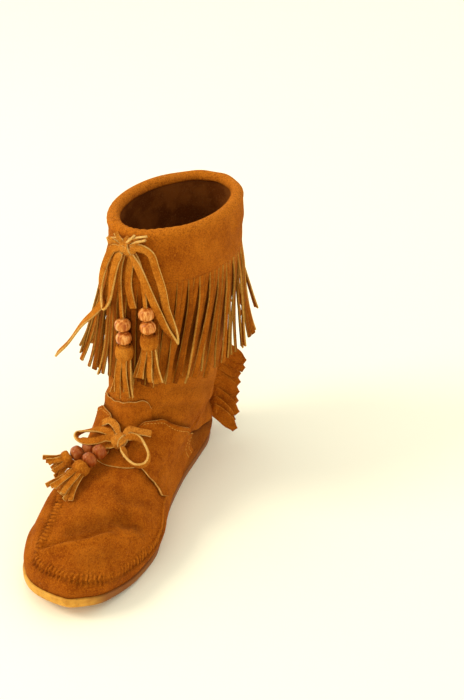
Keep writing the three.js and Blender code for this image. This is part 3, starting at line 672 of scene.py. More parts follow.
# Outline: share of the length, inner and outer half widths, share of the heel's width
OUTLINE = np.array([
    [0.00, 0.000, 0.000, 1], [0.02, 0.233, 0.250, 1], [0.08, 0.417, 0.433, 1],
    [0.15, 0.467, 0.500, 1], [0.30, 0.371, 0.450, 0.5], [0.45, 0.341, 0.440, 0],
    [0.60, 0.429, 0.505, 0], [0.70, 0.484, 0.516, 0], [0.80, 0.462, 0.484, 0],
    [0.88, 0.407, 0.407, 0], [0.94, 0.341, 0.297, 0], [0.98, 0.231, 0.154, 0],
    [1.00, 0.129, -0.129, 0],
])
# Wall: rise, back, front, inner, outer, lean
WALL = [
    (0, 0.006, 0.993, 0.97, 0.97, 0), (0.35, 0.002, 0.992, 1.03, 1, 0),
    (0.73, 0.004, 0.982, 1.06, 0.99, 0.06), (0.97, 0.012, 0.962, 1.05, 0.94, 0.15),
]
# Plug: back, front, back rise, front rise, inner, outer, lean, oval
PLUG = [
    (0.014, 0.922, 0.46, 0.59, 1.03, 0.92, 0.15, 0), (0.014, 0.82, 0.53, 0.70, 1.02, 0.90, 0.12, 0),
    (0.012, 0.68, 0.62, 0.81, 1.02, 0.90, 0.06, 0.1),
    (0.010, 0.505, 0.76, 1.00, 1.05, 0.98, 0, 0.5),
]
# Shaft: middle, length, width, back rise, front rise, shift, turn
LEG = [
    (0.226, 0.90, 0.91, 0.30, 0.375, 0, -0.03), (0.220, 0.93, 0.95, 0.47, 0.52, 0.05, -0.06),
    (0.210, 0.96, 0.98, 0.66, 0.70, 0.09, -0.10), (0.200, 0.98, 0.98, 0.83, 0.855, 0.12, -0.13),
    (0.194, 0.93, 0.93, 0.92, 0.935, 0.13, -0.14),
]
# Row numbers where the plug meets the shaft and where the casing starts
THROAT, GATHER = 7, 12


def outline_half(x):
    """Half widths of the sole outline, inner and outer."""
    at = np.arccos(1 - 2 * np.clip(x / SOLE_LENGTH, 0, 1))
    stations = np.arccos(1 - 2 * OUTLINE[:, 0])
    local = mix(BALL_WIDTH, HEEL_WIDTH, OUTLINE[:, 3])
    return smooth(stations, OUTLINE[:, 1] * local, at), smooth(stations, OUTLINE[:, 2] * local, at)


def sole_under(x):
    """Height of the sole's underside, turned up at the toe."""
    t = np.maximum(x / SOLE_LENGTH - SPRING_START, 0) / (1 - SPRING_START)
    return TOE_SPRING * t * t


def sole_top(x):
    """Height of the sole's top, with a low lip at the toe."""
    return SOLE_THICKNESS + sole_under(x) + TOE_LIP * ease(0.8, 0.98, x / SOLE_LENGTH)


def oval(angle, middle, length, width, shift, turn):
    """X and Y on a turned oval of the shaft."""
    along = np.cos(angle) * length / 2
    across = np.sin(angle) * width / 2
    return middle * SOLE_LENGTH + along - turn * across, shift * BALL_WIDTH + across + turn * along


def top_height(x):
    """Height of the foot's ridge line above the sole's middle."""
    rows = PLUG[::-1]
    stations = [part[1] for part in rows] + [WALL[-1][2]]
    toe = WALL[-1][2] * SOLE_LENGTH
    heights = [part[3] * INSTEP_HEIGHT for part in rows]
    heights.append(float(sole_top(toe)) + GAP + WALL_HEIGHT)
    behind = np.maximum(stations[0] * SOLE_LENGTH - x, 0)
    return smooth(stations, heights, x / SOLE_LENGTH) + 1.3 * behind


def skin(u, v):
    """The boot's outer skin: u runs around from the toe over the inner side, v up the rows."""
    u, v = np.broadcast_arrays(np.asarray(u, float), np.asarray(v, float))
    shape = u.shape
    angle = u.ravel() * 2 * np.pi
    inside = np.sin(angle) >= 0
    share = (1 + np.cos(angle)) / 2
    rows = []
    for rise, back_end, front_end, inner, outer, lean in WALL:
        x = mix(back_end, front_end, share) * SOLE_LENGTH
        half_in, half_out = outline_half(share * SOLE_LENGTH)
        y = np.where(inside, half_in * inner, -half_out * outer)
        rows.append([x, y, sole_top(x) + GAP + (rise - lean * np.sin(angle)) * WALL_HEIGHT])
    for back_end, front_end, back_rise, front_rise, inner, outer, lean, ovalness in PLUG:
        x = mix(back_end, front_end, share) * SOLE_LENGTH
        z = mix(back_rise, front_rise, share) * INSTEP_HEIGHT
        pull = back_end * SOLE_LENGTH * np.maximum(1 - x / (0.4 * SOLE_LENGTH), 0)
        half_in, half_out = outline_half(x - pull)
        half_in, half_out = half_in * inner, half_out * outer
        base = sole_top(x) + GAP + WALL_HEIGHT
        climbed = np.clip((z - base) / (top_height(x) - base), 0, 1)
        reach = np.sqrt(1 - climbed**2.2) * (half_in + half_out) / 2
        foot = (half_in - half_out) / 2 + np.where(inside, reach, -reach)
        middle, length, width, _, _, shift, turn = LEG[0]
        leg = oval(angle, middle, length * COLLAR_LENGTH, width * COLLAR_WIDTH, shift, turn)[1]
        rows.append([x, mix(foot, leg, ovalness), z - lean * np.sin(angle) * WALL_HEIGHT])
    for middle, length, width, back_rise, front_rise, shift, turn in LEG:
        x, y = oval(angle, middle, length * COLLAR_LENGTH, width * COLLAR_WIDTH, shift, turn)
        rows.append([x, y, mix(back_rise, front_rise, share) * LEG_HEIGHT])
    values = np.transpose(np.array(rows), (0, 2, 1))
    return smooth(np.arange(GATHER + 1), values, v.ravel()).reshape(*shape, 3)


def skin_across(u, v):
    """Direction around the boot."""
    return unit(skin(u + 0.004, v) - skin(u - 0.004, v))


def skin_normal(u, v):
    """Direction straight out of the skin."""
    climb = skin(u, np.minimum(v + 0.03, GATHER)) - skin(u, np.maximum(v - 0.03, 0))
    return unit(np.cross(skin_across(u, v), climb))


def lifted(u, v, lift):
    """Places that far above the plain skin."""
    return skin(u, v) + skin_normal(u, v) * np.asarray(lift)[..., None]


def on_skin(points, steps):
    """Dense line over the skin through given points of u and v."""
    points = np.asarray(points, float)
    line, _ = spline(np.column_stack([points, np.zeros(len(points))]), steps)
    return line[:, 0], line[:, 1]


def bell(x, width):
    """1 at 0, falling smoothly to either side."""
    return np.exp(-((x / width) ** 2))


def lumps(points, size, seed):
    """Smooth slack between about -1 and 1, from a few crossed waves."""
    total = 0
    for k in range(6):
        way = unit(np.array([scatter(k, seed), scatter(k, seed + 1), scatter(k, seed + 2)]) - 0.5)
        pace = 2 * np.pi / (size * (0.7 + 0.8 * scatter(k, seed + 3)))
        total = total + np.sin(points @ way * pace + 6.3 * scatter(k, seed + 4))
    return total / 2.6


# Creases: depth and width of the trough, rise of the ridge beside it and its side, how much
# painted shade the trough gets, and its line of u and v. Millimetres. The first is sharp, with a
# broad hollow behind it; then its softer run to the inner side, folds of the shaft above the
# ankle flaps, and slack of the vamp in front of them.
CREASES = [
    (2.6, 2.4, 2.6, -1, 0.2, [(-0.062, 3.5), (-0.05, 3.9), (-0.007, 4.6), (0.031, 4.82),
                              (0.058, 4.95), (0.094, 4.85)]),
    (3.2, 8, 0.8, 1, 0.4, [(-0.03, 4.55), (0.0, 4.95), (0.031, 5.1), (0.06, 5.2), (0.1, 5.1),
                           (0.14, 4.6)]),
    (2.4, 4.5, 1.8, -1, 0.45, [(0.067, 5.05), (0.083, 5.1), (0.103, 4.93), (0.125, 4.67),
                               (0.144, 4.33), (0.165, 3.9)]),
    (0.9, 7, 0.5, -1, 0.2, [(0.0, 3.9), (0.04, 4.1), (0.08, 4.1), (0.12, 3.8)]),
    (1.8, 4, 1.3, 1, 0.2, [(0.07, 7.95), (0.12, 7.85), (0.18, 7.7), (0.25, 7.3)]),
    (1.2, 5, 0.9, 1, 0.2, [(0.10, 8.5), (0.16, 8.3), (0.24, 8.0), (0.30, 7.4)]),
    (1.6, 4, 1.2, 1, 0.2, [(-0.12, 8.0), (-0.2, 7.8), (-0.28, 7.3)]),
    (1.2, 5, 0.8, 1, 0.2, [(0.30, 6.9), (0.36, 6.3), (0.42, 5.6)]),
    (1.0, 5, 0.7, -1, 0.2, [(0.03, 6.2), (0.07, 5.8), (0.12, 5.45), (0.17, 4.8)]),
    (1.0, 4, 0.8, -1, 0.2, [(-0.04, 6.1), (-0.08, 5.6), (-0.11, 5.2)]),
]
# Seam of the plug, from the inner flap's corner around the toe to the outer flap's
SEAM_LINE = [
    (0.226, 4.0), (0.217, 3.9), (0.206, 3.8), (0.196, 3.6), (0.183, 3.4), (0.165, 3.22),
    (0.142, 3.2), (0.11, 3.15), (0.072, 3.08), (0.04, 3.05), (0.011, 3.12), (-0.014, 3.15),
    (-0.034, 3.12), (-0.05, 3.25), (-0.056, 3.5), (-0.052, 3.87), (-0.055, 4.3), (-0.067, 4.6),
    (-0.081, 4.87), (-0.097, 5.05), (-0.12, 5.1), (-0.15, 4.9), (-0.19, 4.3), (-0.228, 3.7),
]
# Hem of the shaft around the heel
HEM = [(0.28, 5.95), (0.294, 5.75), (0.331, 4.9), (0.36, 4.35), (0.388, 3.75), (0.44, 3.35),
       (0.5, 3.25), (0.56, 3.35), (0.612, 3.75), (0.64, 4.35), (0.669, 4.9), (0.706, 5.75),
       (0.72, 5.95)]
# Flap, from its back edge to its tip in front: lower edge and upper edge as u and v
FLAP = np.array([
    [0.320, 3.40, 0.292, 5.65], [0.290, 3.36, 0.235, 6.55], [0.255, 3.36, 0.180, 7.10],
    [0.228, 3.70, 0.130, 7.42], [0.160, 5.60, 0.090, 7.64], [0.080, 6.38, 0.055, 7.62],
    [0.020, 6.62, 0.026, 7.36],
])
# How far from its line a mark on the suede may reach, and the distance beyond that
REACH = 22
FAR_AWAY = 99.0


def run(points):
    """Length of the way along points, up to each of them."""
    return np.concatenate([[0], np.cumsum(np.linalg.norm(np.diff(points, axis=0), axis=1))])


def beside(points, line, steps=60):
    """Signed distance of points to a line over the skin, how far along the line they
    are, and its length."""
    u, v = on_skin(line, steps)
    centres = skin(u, v)
    across = np.cross(skin_normal(u, v), unit(np.gradient(centres, axis=0)))
    length = run(centres)
    low, high = centres.min(0) - REACH, centres.max(0) + REACH
    near = np.flatnonzero(((points > low) & (points < high)).all(-1))
    distance = np.full(len(points), FAR_AWAY)
    along = np.zeros(len(points))
    for start in range(0, len(near), 8000):
        where = near[start:start + 8000]
        gaps = np.linalg.norm(points[where][:, None] - centres[None], axis=2)
        nearest = gaps.argmin(1)
        offset = points[where] - centres[nearest]
        distance[where] = np.copysign(gaps.min(1), (offset * across[nearest]).sum(1))
        along[where] = length[nearest]
    return distance, along, length[-1]


PUCKER_PITCH = 3.1


def pinch(u, v):
    """How far the collar's tie draws the top of the shaft in, at the front and outer side."""
    around = (np.asarray(u) + 0.05 + 0.5) % 1 - 0.5
    return 3.2 * bell(around, 0.1) * ease(GATHER - 1.1, GATHER - 0.35, v)


def painted_shadow_above_flaps(points):
    """Painted shadow: a dark soft band on the boot just above the flaps' top edges."""
    band = np.zeros(len(points))
    for side in (1, -1):
        distance, _, _ = beside(points, FLAP[:, 2:] * (side, 1))
        band = np.maximum(band, 0.5 * bell(distance, 3.2))
    return band


def relief(u, v):
    """How far the suede stands off the plain skin, how much painted shade it gets, and how much
    paler it is: painted light on the upper shaft, and paler ridges and hem edge.
    """
    u, v = np.broadcast_arrays(np.asarray(u, float), np.asarray(v, float))
    u, v = u.ravel(), v.ravel()
    points = skin(u, v)
    turn = np.abs(u - np.round(u))
    rise = 0.6 * lumps(points, 42, 3) + 0.25 * lumps(points, 15, 9)
    rise *= ease(0, 1.5, v)
    # painted shade gathers in the first list, and the paler marks, painted light among them, in the
    # second
    dark = [np.zeros(len(u))]
    pale_wear_and_painted_light = [np.zeros(len(u))]
    for depth, width, ridge_rise, side, shade, line in CREASES:
        distance, along, length = beside(points, line)
        fade = ease(0, 12, along) * ease(0, 12, length - along)
        trough = bell(distance, width) * fade
        ridge = bell(distance * side - 1.7 * width, 1.3 * width) * fade
        rise += ridge_rise * ridge - depth * trough
        # painted shade: a dark line along the sharp creases and shade in each trough; the ridges a
        # little paler
        dark += [0.6 * bell(distance, 0.35 * width) * fade * (width < 3), shade * trough]
        pale_wear_and_painted_light.append(0.2 * ridge * min(ridge_rise / 1.6, 1))
    # the seam stands up and gathers the wall below it in short puckers, with painted shade in the
    # hollows between them and along the wall below
    distance, along, length = beside(points, SEAM_LINE, 260)
    stitched = ease(18, 26, along)
    wave = np.sin(along * 2 * np.pi / PUCKER_PITCH)
    below = np.where(distance > 0, distance, 0)
    rise += 1.3 * bell(distance, 2.4)
    rise += stitched * 0.5 * wave * bell(below - 2.5, 3.2) * (distance > -3)
    dark.append(stitched * bell(distance - 4.2, 1.8) * (0.34 - 0.22 * wave))
    dark.append(0.35 * stitched * bell(distance, 1.3) * (0.5 - 0.5 * wave))
    # the hem at the heel lies over the wall, with a painted shadow just under it, painted shade on
    # the wall below, and a pale line along its edge
    step, _, _ = beside(points, HEM)
    step = np.where(turn > 0.26, step, FAR_AWAY)
    rise += 1.5 * ease(-0.5, 0.5, step) * (1 - ease(4, 20, step))
    dark += [0.9 * bell(step + 1.6, 1.6), np.where(step < 0, 0.3 + 0.4 * bell(step, 7), 0)]
    pale_wear_and_painted_light.append(np.where(step > -0.4, 0.6 * bell(step - 0.3, 0.8), 0))
    # painted shade along the line above the sole and under the cuff's strips, the painted shadow
    # above the flaps, painted light on the upper shaft, and the draw of the tie
    dark.append(0.5 * (1 - ease(0, 0.5, v)))
    shaded = 0.6 + 0.3 * (1 - ease(0.08, 0.16, turn))
    dark.append(shaded * ease(8.9, 9.7, v) * (1 - ease(11, 11.3, v)))
    dark.append(painted_shadow_above_flaps(points))
    pale_wear_and_painted_light.append(0.3 * ease(7.0, 8.0, v))
    gathers = np.sin(u * 2 * np.pi * 41 + 3 * np.sin(u * 2 * np.pi * 5))
    rise += 0.2 * ease(GATHER - 1.2, GATHER, v) * gathers - pinch(u, v)
    return rise, np.max(dark, axis=0), np.max(pale_wear_and_painted_light, axis=0)


def casing_ring(u, degrees, grown):
    """Ring of the rolled casing's tube, at degrees around it from the outside."""
    angle = u * 2 * np.pi
    middle, _, _, _, _, shift, turn = LEG[-1]
    length, width = COLLAR_LENGTH - 2 * CASING_RADIUS, COLLAR_WIDTH - 2 * CASING_RADIUS
    x, y = oval(angle, middle, length, width, shift, turn)
    out = unit(np.stack([np.cos(angle) / length, np.sin(angle) / width, np.zeros_like(angle)], 1))
    z = LEG_HEIGHT - CASING_RADIUS + np.cos(angle) * length * 0.027 / 2
    centre = np.stack([x, y, z], 1)
    swing = np.radians(degrees)
    slack = 0.28 * np.sin(u * 2 * np.pi * 7 + 0.7 * swing + 2.5 * np.sin(u * 12.6))
    near = np.abs((u + 0.5) % 1 - 0.5)
    radius = CASING_RADIUS + grown + slack
    radius = radius + 0.25 * bell(near, 0.12) * np.sin(u * 2 * np.pi * 47 - 1.7 * swing)
    radius = radius - 0.9 * bell(near, 0.03)
    centre = centre + out * (np.cos(swing) * radius)[:, None]
    centre[:, 2] += np.sin(swing) * radius
    return centre


def lining():
    """Raw inside of the suede, darker than the outside: partly its own tone, partly painted shade.
    """
    s = Shader("raw inside", Roughness=0.95, Specular_IOR_Level=0.03)
    patches = s.noise(22, 3, 0.55)
    speckle = s.noise(1.2, 3, 0.7)
    color = s.mix((0.12, 0.028, 0.003, 1), (0.22, 0.062, 0.008, 1), patches.step(0.35, 0.6))
    color = s.mix(color, (0.26, 0.10, 0.03, 1), speckle.step(0.52, 0.7) * 0.5)
    s.wire("Base Color", color)
    s.bump(speckle, 0.4)
    return s.material


LINING = lining()
COLUMNS = 460
even = np.arange(COLUMNS) / COLUMNS
turns = even - 0.55 * np.sin(2 * np.pi * even) / (2 * np.pi)
outer_rows = np.concatenate([
    np.linspace(0, 2.4, 15)[:-1], np.linspace(2.4, 3.7, 20)[:-1], np.linspace(3.7, 7, 74)[:-1],
    np.linspace(7, 11.5, 64)[:-1], np.linspace(11.5, GATHER, 10),
])
inner_rows = np.concatenate([np.linspace(GATHER, 7, 11)[:-1], np.linspace(7, 0, 10)])
u_grid, v_grid = np.meshgrid(turns, outer_rows)
rise, painted_shade_and_tone, wear_and_painted_light = relief(u_grid, v_grid)
outer = lifted(u_grid, v_grid, rise.reshape(u_grid.shape))
casing = np.array([casing_ring(turns, degrees, -0.5) for degrees in np.linspace(-50, 205, 13)])
u_in, v_in = np.meshgrid(turns, inner_rows)
# the inside lies deeper behind the vamp, so that the creases stay clear of it
vamp = ease(3.1, 3.8, v_in) * (1 - ease(6.2, 6.9, v_in))
vamp = vamp * (1 - ease(0.17, 0.24, np.abs(u_in - np.round(u_in))))
inner = lifted(u_in, v_in, -(LEATHER + 0.8 + 4.4 * vamp + pinch(u_in, v_in)))
inner[-1, :, 2] = sole_top(inner[-1, :, 0]) + GAP
rings = np.concatenate([outer, casing, inner])
points, faces, _ = loft(rings, True)
lining_start = (len(outer) + 9) * COLUMNS
picks = [0] * lining_start + [1] * (len(faces) - lining_start)
rest = np.zeros(len(points) - len(painted_shade_and_tone))
marks = {"painted_shade_and_tone": np.concatenate([painted_shade_and_tone, rest]), "wear_and_painted_light": np.concatenate([wear_and_painted_light, rest])}
make("upper", (points, faces, picks), [SUEDE, LINING], ["upper"], marks=marks)


# Tongue and ankle flaps: flat pieces of the same suede laid on the skin, raw at the edge.
# The flaps' front parts lie over the tongue and curl a little.
def panel(columns, rows, place):
    """A flat piece on the skin, and the plain skin's places under it. place(a, b) gives
    u, v and the lifts of its two faces."""
    a, b = np.meshgrid(np.linspace(0, 1, columns + 1), np.linspace(0, 1, rows + 1), indexing="ij")
    u, v, low, high = place(a.ravel(), b.ravel())
    edge = np.minimum(np.minimum(a, 1 - a) * columns, np.minimum(b, 1 - b) * rows).ravel()
    base = skin(u, v)
    normal = skin_normal(u, v)
    rise = relief(u, v)[0]
    high = high - 0.45 * (edge < 0.5)
    under = base + normal * (low + rise)[:, None]
    over = base + normal * (high + rise)[:, None]
    count = len(base)
    stride = rows + 1
    faces, picks = [], []
    for i in range(columns):
        for j in range(rows):
            first, next_column = i * stride + j, (i + 1) * stride + j
            corners = [first, next_column, next_column + 1, first + 1]
            faces += [[corner + count for corner in corners], corners[::-1]]
            picks += [0, 0]
    border = [i * stride for i in range(columns)] + [columns * stride + j for j in range(rows)]
    border += [i * stride + rows for i in range(columns, 0, -1)] + list(range(rows, 0, -1))
    for here, there in zip(border, border[1:] + border[:1]):
        faces.append([here, there, there + count, here + count])
        picks.append(1)
    return (np.concatenate([under, over]), faces, picks), base


TONGUE_THICKNESS = 1.6
FLAP_THICKNESS = 1.8


def tongue_place(a, b):
    """From the outer side to the inner, and up to the wavy top edge."""
    u = mix(-0.115, 0.068, a)
    top = smooth([0, 0.47, 0.62, 0.88, 0.95, 1], [7.93, 8.03, 8.12, 8.22, 8.17, 7.98], a)
    v = mix(THROAT - 0.55, top + 0.015 * np.sin(a * 31), b)
    curl = 0.9 * ease(0.9, 1, b) + 0.7 * ease(0.93, 1, a) * ease(0.4, 1, b)
    return u, v, GAP + curl, GAP + TONGUE_THICKNESS + curl


mesh, base = panel(70, 60, tongue_place)
# the tongue gets the painted shadow above the flaps' edges too
dark = painted_shadow_above_flaps(base)
marks = {"painted_shade_and_tone": np.concatenate([dark, dark]), "wear_and_painted_light": np.full(2 * len(dark), 0.15)}
make("tongue", mesh, [SUEDE, CUT_EDGE], ["tongue"], marks=marks)


def flap_lift(u, v):
    """Room for the tongue under the flaps' tips."""
    return (TONGUE_THICKNESS + GAP) * (1 - ease(0.13, 0.2, np.abs(u))) * ease(5.2, 6.1, v)


def flap_place(side):
    """Place of a panel for the flap of the inner side, 1, or of the outer side, -1."""
    def place(a, b):
        across = 1 - a if side > 0 else a
        at = across * (len(FLAP) - 1)
        edges = [smooth(np.arange(len(FLAP)), column, at) for column in FLAP.T]
        low_u, low_v, top_u, top_v = edges
        u, v = mix(low_u, top_u, b), mix(low_v, top_v, b)
        front = ease(0.5, 0.62, across)
        curl = 0.7 * front * (1 - ease(0, 0.06, b)) + 0.6 * ease(0.95, 1, b)
        wave = 0.5 * np.sin(across * 13 + b * 4) * ease(0, 0.3, across * (1 - across))
        lift = flap_lift(u, v) + curl + wave
        return side * u, v, GAP + lift, GAP + lift + FLAP_THICKNESS

    return place


for name, side in (("ankle_flap_inner", 1), ("ankle_flap_outer", -1)):
    mesh, _ = panel(110, 70, flap_place(side))
    make(name, mesh, [SUEDE, CUT_EDGE], [name])


# Fringed cuff: a band that covers the casing and the top of the shaft, cut into strips
# that hang and curl. They stand off most at the back of the inner side.
CUFF_CUT = 10.85
CUFF_END = 8.8
CUFF_THICKNESS = 1.8
STRIPS = 76
STRIP_WIDTH = 4.6
# Around the boot, how far the strips' ends stand off, and how far they lean sideways:
# those in the middle of the inner side lean to the front, those behind them to the back
FLARE = [
    (0, 4), (0.10, 4), (0.20, 6), (0.28, 10), (0.35, 19), (0.42, 31), (0.47, 29), (0.53, 17),
    (0.62, 8), (0.72, 8), (0.80, 12), (0.86, 15), (0.91, 9), (1, 4),
]
SWAY = [
    (0, 0), (0.06, -0.01), (0.12, -0.038), (0.2, -0.044), (0.28, -0.024), (0.35, 0.004),
    (0.42, 0.008), (0.5, 0), (0.6, -0.006), (0.75, 0.012), (0.9, 0.008), (1, 0),
]


def cuff_band():
    """The band and the casing it covers, and how much paler they are: painted light over the band,
    and a painted highlight along the top of the rolled casing.
    """
    band_v = np.linspace(CUFF_CUT, GATHER, 18)
    u, v = np.meshgrid(turns, band_v)
    filled = 2.0 * ease(GATHER - 0.75, GATHER, v)
    wave = 0.3 * lumps(skin(u, v), 18, 31) * ease(CUFF_CUT, CUFF_CUT + 0.4, v)
    wave = wave + 0.35 * pinch(u, v) / 3.2 * np.sin(u * 2 * np.pi * 34)
    outside = lifted(u, v, GAP + CUFF_THICKNESS + filled + wave - pinch(u, v))
    cover = [casing_ring(turns, degrees, 0.1) for degrees in np.linspace(-22, 196, 16)]
    hidden = [casing_ring(turns, degrees, -0.4) for degrees in np.linspace(196, -22, 10)]
    rings = [*outside, *cover, *hidden, *lifted(u, v[::-1], GAP)]
    points, faces, _ = loft(rings, True)
    cut_edge = (len(rings) - 1) * COLUMNS
    picks = [0] * cut_edge + [1] * (len(faces) - cut_edge)
    # painted light on the band, and a painted highlight strongest along the top of the roll
    pale_wear_and_painted_light = np.zeros(len(rings))
    pale_wear_and_painted_light[:len(outside)] = 0.2
    rolled = 0.2 + 0.75 * np.sin(np.linspace(0.2, 2.8, len(cover)))
    pale_wear_and_painted_light[len(outside):len(outside) + len(cover)] = rolled
    return (points, faces, picks), np.repeat(pale_wear_and_painted_light, COLUMNS)


band, pale_wear_and_painted_light = cuff_band()
parts, wear_and_painted_light, painted_shade_and_tone = [band], [pale_wear_and_painted_light], [np.zeros(len(pale_wear_and_painted_light))]
far = np.linspace(0, 1, 27)
below = ease(0, 0.35, far)
for i in range(STRIPS):
    root = (i + 0.5) / STRIPS
    flare = float(smooth(*zip(*FLARE), root)[0]) * (0.75 + 0.5 * scatter(i, 1))
    sway = 0.014 * (scatter(i, 2) - 0.5) + float(smooth(*zip(*SWAY), root)[0])
    end = CUFF_END + 0.006 * flare + 0.22 * (scatter(i, 3) - 0.5)
    u = root + sway * far**1.4 + 0.0022 * np.sin(5 * far + 6 * scatter(i, 6)) * far
    v = mix(CUFF_CUT + 0.08, end, far)
    out = skin_normal(u, v)
    lift = GAP + CUFF_THICKNESS / 2 + 0.4 * ease(0, 0.3, far) + flare * far**1.7
    lift = lift + 1.3 * np.sin(4.5 * far + 6 * scatter(i, 7)) * far + (0.4 + 1.7 * (i % 2)) * below
    centres = lifted(u, v, lift)
    tangent = unit(np.gradient(centres, axis=0))
    across = skin_across(u, v)
    twist = (2.0 * (scatter(i, 8) - 0.5) * far**1.5)[:, None]
    across = across * np.cos(twist) + out * np.sin(twist)
    across = unit(across - tangent * (across * tangent).sum(1, keepdims=True))
    slit = ease(0.02, 0.1 + 0.25 * scatter(i, 12), far)
    width = mix(STRIP_WIDTH, 4.3 - 0.9 * scatter(i, 9), slit) * (1 + 0.06 * np.sin(7 * far + i))
    bulge = 0.6 * scatter(i, 10)
    parts.append(ribbon(centres, across, np.cross(across, tangent), width, 1.5, bulge))
    # each strip's tone varies at random; the front strips get painted shade, and near the band they
    # carry its painted light
    front = bell((root + 0.5) % 1 - 0.5, 0.07)
    pale_wear_and_painted_light = mix(0.2, 0.45 * scatter(i, 13) * (1 - front), below)
    wear_and_painted_light.append(np.repeat(pale_wear_and_painted_light, len(STRIP_SECTION)))
    painted_shade_and_tone.append(np.repeat((0.42 * scatter(i, 14) + 0.3 * front) * below, len(STRIP_SECTION)))
marks = {"wear_and_painted_light": np.concatenate(wear_and_painted_light), "painted_shade_and_tone": np.concatenate(painted_shade_and_tone)}
make("fringe_cuff", joined(parts), [SUEDE, RAW_EDGE], ["fringe_cuff"], marks=marks)


# Back fringe: a doubled strip sewn into the back seam, cut by slanting slits into
# feathers that overlap and point down and back.
FEATHERS = 9
FEATHER_U = 0.405
FEATHER_TOP = 8.5
FEATHER_BOTTOM = 3.75
FEATHER_REACH = 25
FEATHER_DROOP = 19
FEATHER_ROOT = 5
climb = mix(FEATHER_BOTTOM, FEATHER_TOP, np.linspace(0, 1, 61))
u = np.full(len(climb), FEATHER_U)
out = skin_normal(u, climb)
centres = skin(u, climb) + out * (2 * GAP + FEATHER_ROOT / 2)
height = run(centres)
parts = [ribbon(centres, out, skin_across(u, climb), FEATHER_ROOT, 1.8, 0)]
pitch = height[-1] / FEATHERS
far = np.linspace(0, 1, 19)
for i in range(FEATHERS):
    v = float(np.interp(height[-1] - (i + 0.5) * pitch, height, climb))
    here = skin(FEATHER_U, v)
    out = skin_normal(FEATHER_U, v)
    side = skin_across(FEATHER_U, v)
    reach = FEATHER_REACH * (0.92 + 0.16 * scatter(i, 4)) * (1.05 - 0.35 * i / FEATHERS)
    centres = here + out * (2 * GAP + 1 + reach * far)[:, None]
    centres[:, 2] -= FEATHER_DROOP * (0.9 + 0.3 * i / FEATHERS) * far**1.35
    bend = 3 * (scatter(i, 5) - 0.5) * far + 0.8 * np.sin(4 * far + 6 * scatter(i, 11)) * far
    centres = centres + side * bend[:, None]
    tangent = unit(np.gradient(centres, axis=0))
    down = np.array([0, 0, -1.0]) - 0.16 * side
    across = unit(down - tangent * (tangent @ down)[:, None])
    width = pitch * 1.5 * (1 - 0.5 * ease(0.6, 1, far) ** 2)
    parts.append(ribbon(centres, across, np.cross(across, tangent), width, 1.3, 0.3))
make("back_fringe", joined(parts), [SUEDE, THONG], ["back_fringe"])


# Seams: the whip-stitched pucker ridges of the plug seam and the piping at its inner end.
# They are half sunk in the suede.
def ridge_mesh(start, end, out, radius):
    """A low rounded rib between two points."""
    parts = []
    axis = end - start
    length = np.linalg.norm(axis)
    axis = axis / length
    side = unit(np.cross(out, axis))
    angles = np.linspace(0, 2 * np.pi, 8, endpoint=False)[:, None]
    for share in np.linspace(0, 1, 7):
        swell = radius * np.sqrt(max(1 - (2 * share - 1) ** 4, 0.02))
        bow = 0.5 * radius * np.sin(np.pi * share)
        middle = start + axis * length * share + out * bow
        parts.append(middle + (np.cos(angles) * side + np.sin(angles) * out) * swell)
    return loft(parts)


def even_places(line, pitch):
    """u and v at even distances along a line over the skin."""
    u, v = on_skin(line, 400)
    length = run(skin(u, v))
    marks = np.arange(pitch / 2, length[-1], pitch)
    return np.interp(marks, length, u), np.interp(marks, length, v)


parts = []
wear_and_painted_light = []
u, v = even_places(SEAM_LINE[4:-1], PUCKER_PITCH)
places = skin(u, v)
rises = relief(u, v)[0]
last = len(places) - 1
for k, here in enumerate(places):
    normal = skin_normal(u[k], v[k])
    line = unit(places[min(k + 1, last)] - places[max(k - 1, 0)])
    over = unit(np.cross(normal, line) + 0.5 * line * (0.2 + scatter(k, 21)))
    here = here + line * 0.9 * (scatter(k, 26) - 0.5)
    reach = 1.8 + 1.5 * scatter(k, 22)
    rise = rises[k] - 0.5 + 0.25 * scatter(k, 24)
    start = here - over * reach + normal * (rise - 0.5)
    end = here + over * (reach + 0.8) + normal * (rise - 0.7)
    parts.append(ridge_mesh(start, end, normal, 0.7 + 0.3 * scatter(k, 23)))
    wear_and_painted_light.append(np.full(len(parts[-1][0]), 0.15 + 0.45 * scatter(k, 25)))
make("plug_puckers", joined(parts), [SUEDE], marks={"wear_and_painted_light": np.concatenate(wear_and_painted_light)})

u, v = on_skin(SEAM_LINE[:6], 60)
out = skin_normal(u, v)
centres = skin(u, v) + out * 1.2
side = np.cross(out, unit(np.gradient(centres, axis=0)))
angles = np.linspace(0, 2 * np.pi, 10, endpoint=False)[:, None]
mesh = loft([middle + 1.1 * (np.cos(angles) * a + np.sin(angles) * b)
             for middle, a, b in zip(centres, side, out)])
make("seam_piping", mesh, [SUEDE], marks={"wear_and_painted_light": np.full(len(mesh[0]), 0.5)})


# Stitches: three rows of thread on each ankle flap, two inside the back edge and one
# inside the top edge. They lie half sunk in the suede.
STITCH = 1.9
STITCH_PITCH = 2.6
parts = []
steps = np.linspace(0.04, 0.96, 200)
still = np.zeros(len(steps))
thread_rows = [
    (0.035 + still, steps), (0.085 + still, steps), (mix(0.12, 0.95, steps), 0.955 + still),
]
for side in (1, -1):
    for a, b in thread_rows:
        u, v, _, high = flap_place(side)(1 - a if side > 0 else a, b)
        normal = skin_normal(u, v)
        line = skin(u, v) + normal * (high + relief(u, v)[0] - 0.05)[:, None]
        length = run(line)
        for low in np.arange(0, length[-1] - 2, STITCH_PITCH):
            start, end = ([np.interp(at, length, line[:, k]) for k in range(3)]
                          for at in (low, low + STITCH))
            out = normal[np.searchsorted(length, low)]
            parts.append(ridge_mesh(np.array(start), np.array(end), out, 0.32))
make("flap_stitches", joined(parts), [RAW_EDGE])


